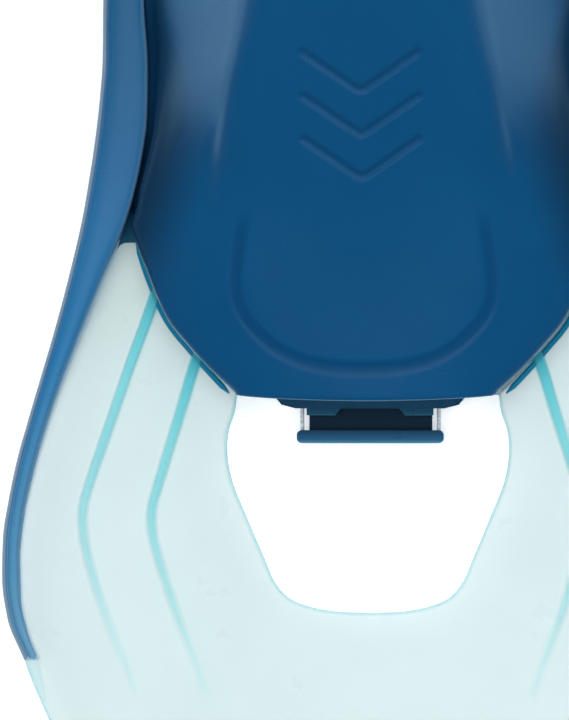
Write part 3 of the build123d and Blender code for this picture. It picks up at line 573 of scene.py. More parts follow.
def build_blade():
    inner_a = smooth_path([(-61.9, -7.0), (-58.4, -16.2), (-53.0, -28.5), (-46.4, -36.6), (-39.4, -43.6), (-35.4, -48.6)], 90)
    inner_b = smooth_path([
        (-35.9, -49.4), (-36.4, -53.2), (-38.2, -59.0), (-38.6, -64.9), (-37.3, -72.6), (-33.2, -83.0),
        (-28.7, -93.7), (-25.7, -100.6), (-21.8, -104.9), (-17.0, -107.0), (-9.9, -108.4), (0.0, -108.9),
    ], 150)
    inner = np.vstack([inner_a, inner_b])
    outer_pts = [(-70.0, -7.2)] + [(float(rail_in(y)) - 1.8, y) for y in np.arange(-12.0, -115.0, -6.0)]
    outer_pts += [(-95.0, -118.2), (-95.1, -121.6), (-94.1, -125.2), (-92.7, -128.9), (-91.2, -132.6), (-88.3, -139.4), (-83.0, -150.0), (-75.0, -164.0), (-64.5, -180.0), (-50.0, -197.0), (-27.0, -210.5), (-9.0, -214.6), (0.0, -215.0)]
    outer = smooth_path(outer_pts, 1200)
    # pairs of (position along inner, position along outer) keep the spokes square to the blade
    def arc(q):
        s = np.concatenate([[0], np.cumsum(np.linalg.norm(np.diff(q, axis=0), axis=1))])
        return s / s[-1]
    si, so = arc(inner), arc(outer)
    def near(q, s, p):
        return s[np.argmin(np.linalg.norm(q - np.array(p), axis=1))]
    pairs_i = [0, near(inner, si, (-53, -28.5)), near(inner, si, (-36, -51)), near(inner, si, (-38.6, -66)), near(inner, si, (-30, -91)), near(inner, si, (-25.7, -100.6)), near(inner, si, (-17, -107)), 1.0]
    pairs_o = [0, near(outer, so, (-81, -40)), near(outer, so, (-92.5, -68)), near(outer, so, (-96.5, -88)), near(outer, so, (-94.5, -124)), near(outer, so, (-84, -148)), near(outer, so, (-58, -188)), 1.0]
    NU, NV = 420, 120
    tu = np.linspace(0, 1, NU)
    ui = np.interp(tu, np.linspace(0, 1, NU), tu)
    uo = hermite(pairs_i, pairs_o)(ui)
    pi = np.stack([np.interp(ui, si, inner[:, k]) for k in (0, 1)], 1)
    po = np.stack([np.interp(uo, so, outer[:, k]) for k in (0, 1)], 1)
    tv = np.linspace(0, 1, NV)
    # rows bunch up at both edges so that they round over smoothly
    tv = 0.5 - 0.5 * np.cos(np.pi * tv) * (0.35) - 0.5 * 0.65 * (1 - 2 * tv)
    xy = pi[:, None, :] * (1 - tv)[None, :, None] + po[:, None, :] * tv[None, :, None]
    half = xy.reshape(-1, 2)
    y = half[:, 1]
    under = BLADE_UNDER(y)
    th = BLADE_THICK(y)
    rib = np.zeros(len(half))
    lift = np.zeros(len(half))
    for line, w0, w1 in RIB_SPECS:
        d, s = to_line(half, line)
        w = w0 + (w1 - w0) * s
        fade = 1 - smoothstep(0.55, 1.0, s) * 0.9
        prof = 1 - smoothstep(0.62, 1.08, d / w)
        soft = 1 - smoothstep(0.35, 1.45, d / w)
        tone = np.interp(s, [0, 0.04, 0.085, 0.14, 0.2, 0.25, 0.45, 0.6, 0.7, 0.78, 0.83, 0.88, 0.93, 1.0], [1.0, 0.85, 0.68, 0.575, 0.51, 0.455, 0.375, 0.27, 0.235, 0.195, 0.165, 0.142, 0.122, 0.105])
        rib = np.maximum(rib, soft * tone)
        lift = np.maximum(lift, prof * fade)
    # distance to the free edges, for the rounded rim and its deeper tint
    hole_line = inner_b
    free_outer = outer[outer[:, 1] < -121.0]
    dh, _ = to_line(half, hole_line)
    do, _ = to_line(half, free_outer)
    d_edge = np.minimum(dh, do)
    round_off = np.clip(1 - d_edge / (th * 0.5), 0, 1)
    sink = th * 0.5 * (1 - np.sqrt(np.clip(1 - round_off ** 2, 0, 1)))
    edge = (1 - smoothstep(0.25, 1.15, d_edge)) * 0.85
    # the rail's own core runs on past the rail as a clear raised rib
    core = smooth_path([(-93.3, -119.0), (-92.8, -123.6), (-91.5, -128.6), (-89.8, -133.6)], 60)
    dc, sc = to_line(half, core)
    wc = np.interp(sc, [0, 0.35, 0.75, 1.0], [2.3, 2.1, 1.6, 0.7])
    corep = (1 - smoothstep(0.75, 1.05, dc / wc)) * smoothstep(120.9, 121.9, -y)
    lift_c = corep * np.interp(sc, [0, 0.7, 1.0], [0.9, 0.8, 0.2])
    # a tint that grows towards the blade's root, and a deeper tint along the rail's core
    root = smoothstep(-70, -10, y) * 0.9
    edge = np.maximum(edge, corep * 0.36)
    # distances to both ribs, which nothing uses further, and the strip where the blade tucks in under the rail
    da, _ = to_line(half, RIB_SPECS[0][0])
    db, _ = to_line(half, RIB_SPECS[1][0])
    tucked = smoothstep(0.2, 1.2, -half[:, 0] + rail_in(y)) * (y > -121.5) * smoothstep(100.0, 112.0, -y)
    top = under + th + 1.3 * lift + lift_c - sink - 1.3 * tucked
    bot = under - 0.7 * lift - lift_c * 0.7 + sink
    n = len(half)
    left = np.column_stack([half, top])
    leftb = np.column_stack([half, bot])
    # mirror: the right half is the same grid with X turned round, joined along the middle row
    right, rightb = left * [-1, 1, 1], leftb * [-1, 1, 1]
    def idx(block, i, j):
        return block * n + i * NV + j
    v = np.vstack([left, leftb, right, rightb])
    f = []
    for i in range(NU - 1):
        for j in range(NV - 1):
            for blk in (0, 1, 2, 3):
                f.append((idx(blk, i, j), idx(blk, i, j + 1), idx(blk, i + 1, j + 1), idx(blk, i + 1, j)))
    for i in range(NU - 1):
        for a, b in ((0, 1), (2, 3)):
            for j in (0, NV - 1):
                f.append((idx(a, i, j), idx(b, i, j), idx(b, i + 1, j), idx(a, i + 1, j)))
    for j in range(NV - 1):
        for a, b in ((0, 1), (2, 3)):
            f.append((idx(a, 0, j), idx(b, 0, j), idx(b, 0, j + 1), idx(a, 0, j + 1)))
    # weld the middle row of both halves
    remap = np.arange(len(v))
    for j in range(NV):
        remap[idx(2, NU - 1, j)] = idx(0, NU - 1, j)
        remap[idx(3, NU - 1, j)] = idx(1, NU - 1, j)
    v[[idx(0, NU - 1, j) for j in range(NV)], 0] = 0
    v[[idx(1, NU - 1, j) for j in range(NV)], 0] = 0
    f = [tuple(int(remap[k]) for k in q) for q in f]
    used = np.unique(np.array([k for q in f for k in q]))
    new = np.full(len(v), -1)
    new[used] = np.arange(len(used))
    f = [tuple(int(new[k]) for k in q) for q in f]
    rep = lambda a: np.concatenate([a, a, a, a])[used]
    return mesh_piece("blade_skin", v[used], f, BLADE.m, "fin", replaces=("blade",), slot="blade",
                      attrs={"rib": rep(rib), "edge": rep(edge), "root": rep(root)})


build_blade()


# ------------------------------------------------------------------ side rails
def rail_section(y):
    """The left rail across at one Y, as (X, Z) points, closed."""
    xo, xi = float(rail_out(y)), float(rail_in(y))
    zt, zb = float(RAIL_TOP(y)) - 0.6, float(RAIL_BOT(y))
    w = xi - xo
    g = min(1.0, w / 6.0)
    body = zt - zb
    pts = [
        (xo + 1.6, zb), (xo + 0.7, zb + 0.25), (xo + 0.25, zb + 0.9), (xo, zb + 2.0),
        (xo - 0.0, zb + 0.45 * body), (xo, zt - 2.2), (xo + 0.1, zt - 1.2),
        (xo + 0.32, zt - 0.55), (xo + 0.62, zt - 0.16), (xo + 1.02, zt - 0.16), (xo + 1.26, zt - 0.5),
        (xo + 1.36, zt - 0.95), (xo + 1.56, zt - 1.02), (xo + 1.78, zt - 0.7),
        (xo + 1.78 + 0.10 * (w - 1.8), zt - 0.30),
        (xo + 1.78 + 0.30 * (w - 1.8), zt + 0.16 * g), (xo + 1.78 + 0.55 * (w - 1.8), zt + 0.30 * g),
        (xi - 0.24 * (w - 1.8), zt + 0.05), (xi - 0.85 * g - 0.15, zt - 0.40), (xi - 0.36, zt - 0.85),
        (xi - 0.08, zt - 1.6), (xi, zt - 2.6), (xi - 0.15, zt - 0.35 * body), (xi - 0.25, zb + 0.30 * body),
        (xi - 0.1, zb + 1.6), (xi - 0.5, zb + 0.4), (xi - 1.3, zb),
    ]
    return pts


def build_rail(side):
    ys = np.concatenate([np.linspace(112.0, 60.0, 60, endpoint=False), np.linspace(60.0, -121.6, 260)])
    rows = []
    cols = 96
    for y in ys:
        p = np.array(rail_section(y))
        loop = smooth_path(list(p), cols + 1, closed=False)[:cols]
        rows.append(np.column_stack([loop[:, 0], np.full(cols, y), loop[:, 1]]))
    # the front end closes in a rounded face, the back end runs into the pocket
    end = rows[-1]
    c = end.mean(0)
    for k, (sh, dy) in enumerate(((0.97, -0.25), (0.90, -0.5), (0.78, -0.62))):
        r = c + (end - c) * [sh, 1, sh]
        r[:, 1] = end[0, 1] + dy
        rows.append(r)
    start = rows[0]
    c0 = start.mean(0)
    for sh, dy in ((0.9, 0.6), (0.7, 1.0)):
        r = c0 + (start - c0) * [sh, 1, sh]
        r[:, 1] = start[0, 1] + dy
        rows.insert(0, r)
    v = np.vstack(rows)
    f = grid_faces(len(rows), cols, wrap_cols=True)
    n = len(v)
    v = np.vstack([v, rows[0].mean(0), rows[-1].mean(0)])
    for j in range(cols):
        f.append((n, (j + 1) % cols, j))
        f.append((n + 1, (len(rows) - 1) * cols + j, (len(rows) - 1) * cols + (j + 1) % cols))
    # masks for painted highlights: along the outer rim of the top and along the rounded inner edge
    lip_highlight = np.zeros(len(v))
    inner = np.zeros(len(v))
    for i, r in enumerate(rows):
        xo = float(rail_out(r[0, 1]))
        d = np.abs(r[:, 0] - xo)
        zt = float(RAIL_TOP(r[0, 1])) - 0.6
        xi = float(rail_in(r[0, 1]))
        di = np.abs(r[:, 0] - xi)
        high = smoothstep(zt - 3.5, zt - 1.0, r[:, 2])
        lip_highlight[i * cols:(i + 1) * cols] = (1 - smoothstep(0.95, 1.45, d)) * high
        inner[i * cols:(i + 1) * cols] = (1 - smoothstep(0.2, 1.1, di)) * high
    if side == "right":
        v = v * [-1, 1, 1]
    return mesh_piece(f"side_rail_{side}_skin", v, f, RAIL_PAINTED_HIGHLIGHT_M.m, "fin", replaces=(f"side_rail_{side}",), slot="rail_rubber", attrs={"lip_highlight": lip_highlight, "inner": inner})


def rail_painted_highlight_material():
    m = rubber(
        "rail_rubber_painted_highlight", (0.017, 0.135, 0.31, 1), rough=(0.24, 0.34), grain=0.06,
        along=(-0.122, 0.06, [
            (0.0, (0.14, 0.34, 0.51, 1)), (0.14, (0.085, 0.270, 0.45, 1)), (0.45, (0.026, 0.176, 0.38, 1)),
            (0.8, (0.018, 0.104, 0.235, 1)), (1.0, (0.015, 0.086, 0.185, 1)),
        ]),
    )
    src = m.p.inputs["Base Color"].links[0].from_socket
    # painted highlight: the rounded inner edge is painted paler, standing in for a reflection
    col = m.mix(m.math("MULTIPLY", m.attr("inner"), 0.5), src, (0.15, 0.27, 0.42, 1))
    # painted highlight: a pale greyish line along the outer rim of the top
    m.color(m.mix(m.math("MULTIPLY", m.attr("lip_highlight"), 0.85), col, (0.21, 0.26, 0.33, 1)))
    return m


RAIL_PAINTED_HIGHLIGHT_M = rail_painted_highlight_material()
build_rail("left")
build_rail("right")


# ------------------------------------------------------------------ foot pocket
U_GROOVE = smooth_path([(-31.5, 2.0), (-33.4, -6.0), (-34.8, -20.6), (-33.2, -26.5), (-29.4, -31.6), (-23.5, -36.6), (-17.2, -39.6), (-9.0, -41.3), (0.0, -41.8)], 120)
CHEVRONS = []
for k, (yy, hw) in enumerate(((43.0, 15.5), (31.5, 15.5), (20.0, 15.5))):
    arm = [(-hw + (hw - 1.2) * k / 8.0, yy - 9.6 * k / 8.0) for k in range(9)]
    CHEVRONS.append(np.array(arm + [(0.0, yy - 10.1)] + [(-x, y) for x, y in reversed(arm)]))


def pocket_section(y, cols):
    """Half of the outer surface across, from the middle out to the web's end."""
    top = float(TOP(y))
    crest, f1, f2, f3, f4, end = [np.array([float(fx(y)), float(fz(y))]) for fx, fz in _fl]
    shift = top - float(hermite(_y, [r[1] for r in POCKET_ROWS])(y))
    crest = crest + [0, shift]
    dome = 1 - float(smoothstep(2.0, 26.0, y))
    # the crest is a soft bend between the flat top and the flank
    corner = np.array([crest[0] - 1.1 - 1.5 * dome, top - 0.1 - 0.25 * (top - crest[1]) * dome])
    p0 = np.array([crest[0] - 8.0 - 3.0 * dome, top + 0.12 - 0.12 * (top - crest[1]) * dome])
    p2 = crest + (f1 - crest) * 0.6
    pts = [(0, top + 0.4), (0.33 * crest[0], top + 0.35)]
    for t in (0.0, 0.25, 0.5, 0.75, 1.0):
        pts.append(tuple(p0 * (1 - t) ** 2 + corner * 2 * t * (1 - t) + p2 * t * t))
    pts += [tuple(f1), tuple(f2), tuple(f3), tuple(f4)]
    wall = 1 - float(smoothstep(-3.0, 4.0, y))
    g1w, g2w = np.array([end[0] - 0.15, f4[1] - 1.7]), np.array([end[0], 25.4 + 0.45 * (f4[1] - 25.4)])
    g1b, g2b = f4 + (end - f4) * [0.40, 0.52], f4 + (end - f4) * [0.72, 0.83]
    pts += [tuple(g1w * wall + g1b * (1 - wall)), tuple(g2w * wall + g2b * (1 - wall)), tuple(end)]
    return smooth_path(pts, cols)


def pocket_surface(ys, cols):
    rows = []
    for y in ys:
        h = pocket_section(y, cols)
        left = h[::-1] * [-1, 1]
        full = np.vstack([left[:-1], h])
        rows.append(np.column_stack([full[:, 0], np.full(len(full), y), full[:, 1]]))
    return np.array(rows)


def channel_shade_at(x, y, z):
    """Painted shade mask: 1 in the channel between the pocket's flank and the rail, fading out up the flank."""
    gap = -rail_in(y) - np.abs(x)
    wide = 22.0 - 12.5 * smoothstep(14.0, 58.0, y)
    t = np.clip((wide - gap) / (wide - 3.0), 0, 1)
    t = t * t * (3 - 2 * t)
    return t * smoothstep(-34.0, -2.0, y) * (1 - smoothstep(62.0, 76.0, z))


def instep_cut(y):
    """Height of the edge of the foot opening."""
    return hermite([86.0, 88.0, 89.5, 92.0, 95.0, 100.0, 105.0, 112.0, 118.0], [120.0, 99.0, 84.0, 73.5, 66.0, 58.5, 53.0, 48.8, 47.0])(y)


def build_pocket():
    rows = np.concatenate([np.linspace(-49.0, 60.0, 175, endpoint=False), np.linspace(60.0, 87.8, 36, endpoint=False)])
    cols = 130
    S = pocket_surface(rows, cols)
    nr, nc = S.shape[:2]
    pts = S.reshape(-1, 3)
    # grooves are pressed along the surface normal
    du = np.gradient(S, axis=0)
    dv = np.gradient(S, axis=1)
    nrm = np.cross(dv, du)
    nrm /= np.maximum(np.linalg.norm(nrm, axis=2), 1e-9)[:, :, None]
    nrm[nrm[:, :, 2].mean() < 0] *= -1
    if nrm[nr // 2, nc // 2, 2] < 0:
        nrm = -nrm
    both = np.vstack([U_GROOVE, (U_GROOVE * [-1, 1])[::-1][1:]])
    d, s = to_line(pts[:, :2], both)
    ends = smoothstep(0.0, 0.07, s) * (1 - smoothstep(0.93, 1.0, s))
    # this U channel mask drives both the press and the painted shade
    groove_and_shade = (1 - smoothstep(0.9, 2.2, d)) * ends
    press = 0.34 * groove_and_shade
    # three chevrons pressed into the top panel
    mark = np.zeros(len(pts))
    for c in CHEVRONS:
        dc, sc = to_line(pts[:, :2], c)
        mark = np.maximum(mark, 1 - smoothstep(0.65, 1.15, dc))
    up = pts[:, 2] > 45
    press = press + 0.55 * mark * up
    bow = (0.75 - 1.35 * np.clip(1 - (pts[:, 0] / 35.9) ** 2, 0, 1)) * smoothstep(38.0, 49.0, -pts[:, 1])
    S[:, :, 1] += bow.reshape(nr, nc)
    outer = (S.reshape(-1, 3) - nrm.reshape(-1, 3) * press[:, None]).reshape(S.shape)
    # the wall: inner surface, set in by its thickness, clear of the web
    t_in = 3.0
    inner = S - nrm * t_in
    ends_x = np.abs(S[:, -1, 0])
    for i in range(nr):
        lim = min(float(WB(rows[i])), ends_x[i]) - 3.2
        x, z = inner[i, :, 0], inner[i, :, 2]
        out_side = np.abs(S[i, :, 0])
        low = (S[i, :, 2] < 30.0) & (out_side > lim)
        x[:] = np.clip(x, -lim, lim)
        z[:] = np.maximum(np.minimum(z, S[i, :, 2] - 0.5), 22.4)
        z[low] = np.minimum(z[low], 23.0)
        inner[i, 0, 2] = inner[i, -1, 2] = 22.4
    v = [outer.reshape(-1, 3)]
    f = grid_faces(nr, nc)
    off = nr * nc
    v.append(inner.reshape(-1, 3))
    f += grid_faces(nr, nc, offset=off)
    count = 2 * off
    # rolled rims at the toe and along the instep: a half round between the two surfaces
    def rim(oi, ii, out_dir, steps=6, swell=1.0):
        nonlocal count
        a, b = oi, ii
        A, B = np.vstack(v)[a], np.vstack(v)[b]
        reach = np.interp(np.minimum(np.arange(len(a)), np.arange(len(a) - 1, -1, -1)), [0, 3, 9], [0.1, 0.35, 1.6])
        prev = list(a)
        for k in range(1, steps):
            t = math.pi * k / steps
            mid = (A + B) / 2 + (A - B) / 2 * math.cos(t) + out_dir * np.minimum(np.linalg.norm(A - B, axis=1)[:, None] / 2, reach[:, None]) * math.sin(t) * swell
            v.append(mid)
            cur = list(range(count, count + len(mid)))
            count += len(mid)
            for j in range(len(cur) - 1):
                f.append((prev[j], prev[j + 1], cur[j + 1], cur[j]))
            prev = cur
        for j in range(len(prev) - 1):
            f.append((prev[j], prev[j + 1], int(b[j + 1]), int(b[j])))
    idx0 = np.arange(nc)
    rim(idx0, off + idx0, np.array([0, -1.0, 0]), swell=0.9)
    idx1 = (nr - 1) * nc + np.arange(nc)
    rim(idx1, off + idx1, np.array([0, 1.0, 0]), swell=0.8)
    V = np.vstack(v)
    # close along both lower edges
    for j in (0, nc - 1):
        for i in range(nr - 1):
            a, b = i * nc + j, (i + 1) * nc + j
            f.append((a, b, off + b, off + a))
    groove_shade_attr = np.zeros(len(V))
    groove_shade_attr[:off] = groove_and_shade
    # painted shade in the channel between the flank and the rail
    channel_shade = channel_shade_at(V[:, 0], V[:, 1], V[:, 2])
    # painted shade for the pressed chevrons
    chevron_shade_mask = np.zeros(len(V))
    chevron_shade_mask[:off] = mark * up
    return mesh_piece("pocket_skin", V, f, POCKET_PAINTED_SHADE_M.m, "fin", replaces=("foot_pocket",), slot="pocket_rubber",
                      attrs={"groove_and_shade": groove_shade_attr, "chevron_shade": chevron_shade_mask, "channel_shade": channel_shade})


def pocket_painted_shade_material():
    m = rubber("pocket_rubber_painted_shade", (0.0022, 0.068, 0.182, 1), rough=(0.22, 0.30), grain=0.06, spec=0.52)
    src = m.p.inputs["Base Color"].links[0].from_socket
    # painted shade: the U channel is painted darker
    col = m.mix(m.math("MULTIPLY", m.attr("groove_and_shade"), 0.8), src, (0.0010, 0.052, 0.150, 1))
    # painted shade: the pressed chevrons are painted darker
    col = m.mix(m.math("MULTIPLY", m.attr("chevron_shade"), 0.5), col, (0.0010, 0.050, 0.145, 1))
    # painted shade: the channel beside the rail is painted nearly black
    m.color(m.mix(m.math("MULTIPLY", m.attr("channel_shade"), 0.68), col, (0.0036, 0.0095, 0.020, 1)))
    return m


POCKET_PAINTED_SHADE_M = pocket_painted_shade_material()
build_pocket()


def build_side_walls():
    """Rear part of the pocket's sides, beside the foot opening, with a rolled top edge."""
    obs = []
    for side in (-1, 1):
        ys = np.linspace(87.0, 118.0, 60)
        rows = []
        for y in ys:
            wb, top, wt = float(WB(y)), float(TOP(y)), float(WT(y))
            zc = min(float(instep_cut(y)), top)
            sec = pocket_section(y, 80)
            # flank only, up to the cut
            keep = sec[(sec[:, 1] <= zc) & (sec[:, 0] > wt * 0.3) & (sec[:, 0] < wb + 0.5)]
            if len(keep) < 4:
                keep = sec[-20:]
            keep = keep[np.argsort(keep[:, 1])]
            keep = np.vstack([[wb, 22.4], keep])
            outer = even(keep, 40)
            t = np.gradient(outer, axis=0)
            t /= np.maximum(np.linalg.norm(t, axis=1), 1e-9)[:, None]
            nin = np.stack([-t[:, 1], t[:, 0]], 1)
            if nin[10, 0] > 0:
                nin = -nin
            inner = outer + nin * 3.0
            inner[:, 0] = np.minimum(inner[:, 0], wb - 3.0)
            tip = []
            A, B = outer[-1], inner[-1]
            up = t[-1]
            for k in range(1, 6):
                a = math.pi * k / 6
                tip.append((A + B) / 2 + (A - B) / 2 * math.cos(a) + up * 1.5 * math.sin(a))
            loop = np.vstack([outer, tip, inner[::-1]])
            rows.append(np.column_stack([loop[:, 0] * side, np.full(len(loop), y), loop[:, 1]]))
        cols = len(rows[0])
        end = rows[-1]
        mid = end.copy()
        c = (end + end[::-1]) / 2
        rows.append(np.where(True, c + (end - c) * 0.75, 0) + [0, 0.9, 0])
        rows.append(c + (end - c) * 0.25 + [0, 1.35, 0])
        v = np.vstack(rows)
        f = grid_faces(len(rows), cols, wrap_cols=True)
        f.append(tuple(range(cols)))
        f.append(tuple((len(rows) - 1) * cols + j for j in range(cols)))
        name = "pocket_side_left" if side < 0 else "pocket_side_right"
        # the side walls carry the painted-shade masks too
        obs.append(mesh_piece(name, v, f, POCKET_PAINTED_SHADE_M.m, "fin", slot="pocket_rubber", attrs={"channel_shade": channel_shade_at(v[:, 0], v[:, 1], v[:, 2]), "groove_and_shade": np.zeros(len(v)), "chevron_shade": np.zeros(len(v))}))
    return obs


build_side_walls()


def build_web_rear():
    """Webs between the pocket's sides and the rails, behind the moulded skin."""
    for side in (-1, 1):
        ys = np.linspace(86.0, 104.0, 30)
        rows = []
        for y in ys:
            a = float(WB(y)) - 0.4
            b = max(-float(rail_in(y)) + 0.2, a + 0.3)
            pts = [(a, 23.0), (a, 25.9), (a + 0.25 * (b - a), 25.5), (b, 25.4), (b, 22.5)]
            rows.append(np.array([(side * x, y, z) for x, z in pts]))
        v = np.vstack(rows)
        f = grid_faces(len(rows), 5, wrap_cols=True)
        f.append((0, 1, 2, 3, 4))
        f.append(tuple((len(rows) - 1) * 5 + j for j in range(5)))
        mesh_piece("web_left" if side < 0 else "web_right", v, f, POCKET.m, "fin", slot="pocket_rubber", smooth=False)


build_web_rear()

# seam bead where the pocket's skirt meets the blade
seam_half = smooth_path([(-62.9, -6.9), (-59.9, -16.2), (-54.5, -28.5), (-48.0, -36.7), (-41.1, -44.4), (-37.4, -48.2)], 140)
for sgn, nm in ((1, "left"), (-1, "right")):
    path = np.column_stack([(seam_half[:, 0] - 0.55) * sgn, seam_half[:, 1] - 0.35, 25.5 + 0 * seam_half[:, 0]])
    tube(f"seam_{nm}", path, 0.8 * np.minimum(1, np.minimum(np.arange(140), np.arange(139, -1, -1)) / 10 + 0.25), SEAM.m, "fin", sides=10, slot="shell")

# trim that covers the blade's corner, between the rail and the pocket
for sgn, nm in ((1, "left"), (-1, "right")):
    plan = [(-61.2, 3.2), (-61.9, -4.0), (-62.9, -7.3), (-64.6, -7.25), (-66.6, -7.3), (-67.9, -7.9), (-68.8, -9.2), (-69.6, -11.0), (-70.6, -11.0), (-69.2, -7.0), (-67.0, -1.5), (-64.9, 3.2)]
    slab_from_outline(f"clamp_trim_{nm}", even(np.array(plan + plan[:1], float), 90)[:-1] * [sgn, 1], 25.0, 25.95, TRIM.m, "fin", edge=0.3, slot="shell")

# ------------------------------------------------------------------ moulded soft parts, reworked from their CAD solids
def remeshed(node, voxel):
    """The CAD solid's surface as an even net of points, smoothed without shrinking."""
    ob = bpy.data.objects.new("scratch", NODES[node].data.copy())
    bpy.context.scene.collection.objects.link(ob)
    md = ob.modifiers.new("net", "REMESH")
    md.mode = "VOXEL"
    md.voxel_size = voxel * MM
    md.adaptivity = 0.0
    dg = bpy.context.evaluated_depsgraph_get()
    me = bpy.data.meshes.new_from_object(ob.evaluated_get(dg))
    v = np.empty(len(me.vertices) * 3)
    me.vertices.foreach_get("co", v)
    v = v.reshape(-1, 3) / MM
    f = [tuple(p.vertices) for p in me.polygons]
    e = np.empty(len(me.edges) * 2, np.int64)
    me.edges.foreach_get("vertices", e)
    e = e.reshape(-1, 2)
    bpy.data.objects.remove(ob)
    bpy.data.meshes.remove(me)
    deg = np.bincount(e.ravel(), minlength=len(v)).astype(float)
    for k in (0.5, -0.53) * 3:
        acc = np.zeros_like(v)
        for c in range(3):
            acc[:, c] = np.bincount(e[:, 0], v[e[:, 1], c], len(v)) + np.bincount(e[:, 1], v[e[:, 0], c], len(v))
        v = v + k * (acc / deg[:, None] - v)
    return v, f


def normals_of(v, f):
    q = np.array(f)
    n = np.cross(v[q[:, 2]] - v[q[:, 0]], v[q[:, 3 if q.shape[1] > 3 else 1]] - v[q[:, 1]])
    out = np.zeros_like(v)
    for c in range(q.shape[1]):
        for k in range(3):
            out[:, k] += np.bincount(q[:, c], n[:, k], len(v))
    return out / np.maximum(np.linalg.norm(out, axis=1), 1e-12)[:, None]


def near_distance(points, others, axes=(0, 1)):
    from mathutils.kdtree import KDTree
    pick = others[:: max(1, len(others) // 6000)]
    tree = KDTree(len(pick))
    for i, p in enumerate(pick):
        tree.insert([p[a] if a in axes else 0.0 for a in range(3)], i)
    tree.balance()
    return np.array([tree.find([p[a] if a in axes else 0.0 for a in range(3)])[2] for p in points])


def soft_part(node, name, voxel, press, mat, body, slot, tone=None):
    v, f = remeshed(node, voxel)
    n = normals_of(v, f)
    if n[np.argmax(v[:, 2]), 2] < 0:
        n = -n
    depth, mark = press(v, n)
    ob = mesh_piece(name, v - n * depth[:, None], f, mat.m, body, replaces=(node,), slot=slot, attrs={"mark": mark})
    return ob


def press_footbed(v, n):
    """Anti-slip channels across the sole, inside a plain border."""
    up = smoothstep(0.55, 0.9, n[:, 2])
    side = v[np.abs(n[:, 2]) < 0.5]
    d = near_distance(v, side)
    wave = v[:, 1] + 2.2 * np.cos(v[:, 0] / 9.0) - 0.0016 * v[:, 0] ** 2
    c = np.abs((wave / 9.0) % 1.0 - 0.5) * 9.0
    ch = (1 - smoothstep(0.5, 1.3, c)) * smoothstep(4.5, 6.0, d) * up
    return 0.55 * ch, ch


def press_heel_pad(v, n):
    """Rows of small dimples, and a border line pressed round them."""
    up = smoothstep(0.55, 0.9, n[:, 2])
    side = v[np.abs(n[:, 2]) < 0.5]
    d = near_distance(v, side)
    row = np.round(v[:, 1] / 6.0)
    x = v[:, 0] - 3.5 * (row % 2)
    dx, dy = x - np.round(x / 7.0) * 7.0, v[:, 1] - row * 6.0
    r = np.hypot(dx, dy)
    dim = (1 - smoothstep(0.9, 1.8, r)) * smoothstep(6.0, 7.5, d)
    line = 1 - smoothstep(0.4, 1.0, np.abs(d - 4.2))
    m = np.maximum(dim, line) * up
    return 0.45 * m, m


def press_cup(v, n):
    """A line pressed below the rim outside, and three short grip lines at the back."""
    rim = v[(n[:, 2] > 0.75) & (v[:, 2] > 20.0)]
    d = near_distance(v, rim, axes=(0, 1, 2))
    mid = np.array([0.0, 165.0])
    out = (n[:, 0] * (v[:, 0] - mid[0]) + n[:, 1] * (v[:, 1] - mid[1])) > 0
    line = (1 - smoothstep(0.6, 1.5, np.abs(d - 6.5))) * (v[:, 2] > 12.0)
    bars = np.zeros(len(v))
    for z in (14.0, 20.0, 26.0):
        half = 24.0 - (z - 14.0) * 0.5
        bars = np.maximum(bars, (1 - smoothstep(0.7, 1.5, np.abs(v[:, 2] - z))) * (1 - smoothstep(half - 3.0, half, np.abs(v[:, 0]))) * (v[:, 1] > 165.0) * (d > 9.0))
    m = np.maximum(line, bars) * out * smoothstep(0.35, 0.75, np.abs(n[:, 0]) + np.abs(n[:, 1]))
    return 0.5 * m, m


def press_tab(v, n):
    """Grip lines across both faces of the pull tab."""
    face = smoothstep(0.7, 0.92, np.abs(n[:, 1]))
    side = v[np.abs(n[:, 1]) < 0.45]
    d = near_distance(v, side, axes=(0, 2))
    c = np.abs((v[:, 2] / 4.0) % 1.0 - 0.5) * 4.0
    m = (1 - smoothstep(0.35, 0.95, c)) * smoothstep(1.8, 2.8, d) * face * smoothstep(54.0, 57.0, v[:, 2])
    return 0.42 * m, m


def press_tread(v, n):
    """Zigzag tread pressed up from the ground face."""
    down = smoothstep(0.55, 0.9, -n[:, 2])
    side = v[np.abs(n[:, 2]) < 0.5]
    d = near_distance(v, side)
    zig = v[:, 1] + 3.2 * np.abs(((v[:, 0] / 7.0) % 2.0) - 1.0)
    c = np.abs((zig / 6.5) % 1.0 - 0.5) * 6.5
    m = (1 - smoothstep(0.6, 1.25, c)) * smoothstep(2.2, 3.2, d) * down
    return 1.0 * m, m


def with_pressed_shade(name, mat, pressed_shade_color, amount=0.55):
    """The same finish, with painted shade in the pressed lines: their colour is a step darker."""
    src = mat.p.inputs["Base Color"].links[0].from_socket
    # painted shade: the pressed lines are painted darker
    mat.color(mat.mix(mat.math("MULTIPLY", mat.attr("mark"), amount), src, pressed_shade_color))
    return mat


FOAM_M = with_pressed_shade("f", foam("footbed_look2", (0.012, 0.035, 0.06, 1)), (0.004, 0.012, 0.022, 1))
CUP_M = with_pressed_shade("c", rubber("cup_rubber_look2", (0.0030, 0.074, 0.185, 1), rough=(0.28, 0.40), grain=0.12), (0.0012, 0.040, 0.110, 1))
SOLE_M = with_pressed_shade("s", rubber("outsole_look2", (0.006, 0.022, 0.045, 1), rough=(0.5, 0.7), grain=0.35), (0.003, 0.010, 0.020, 1))

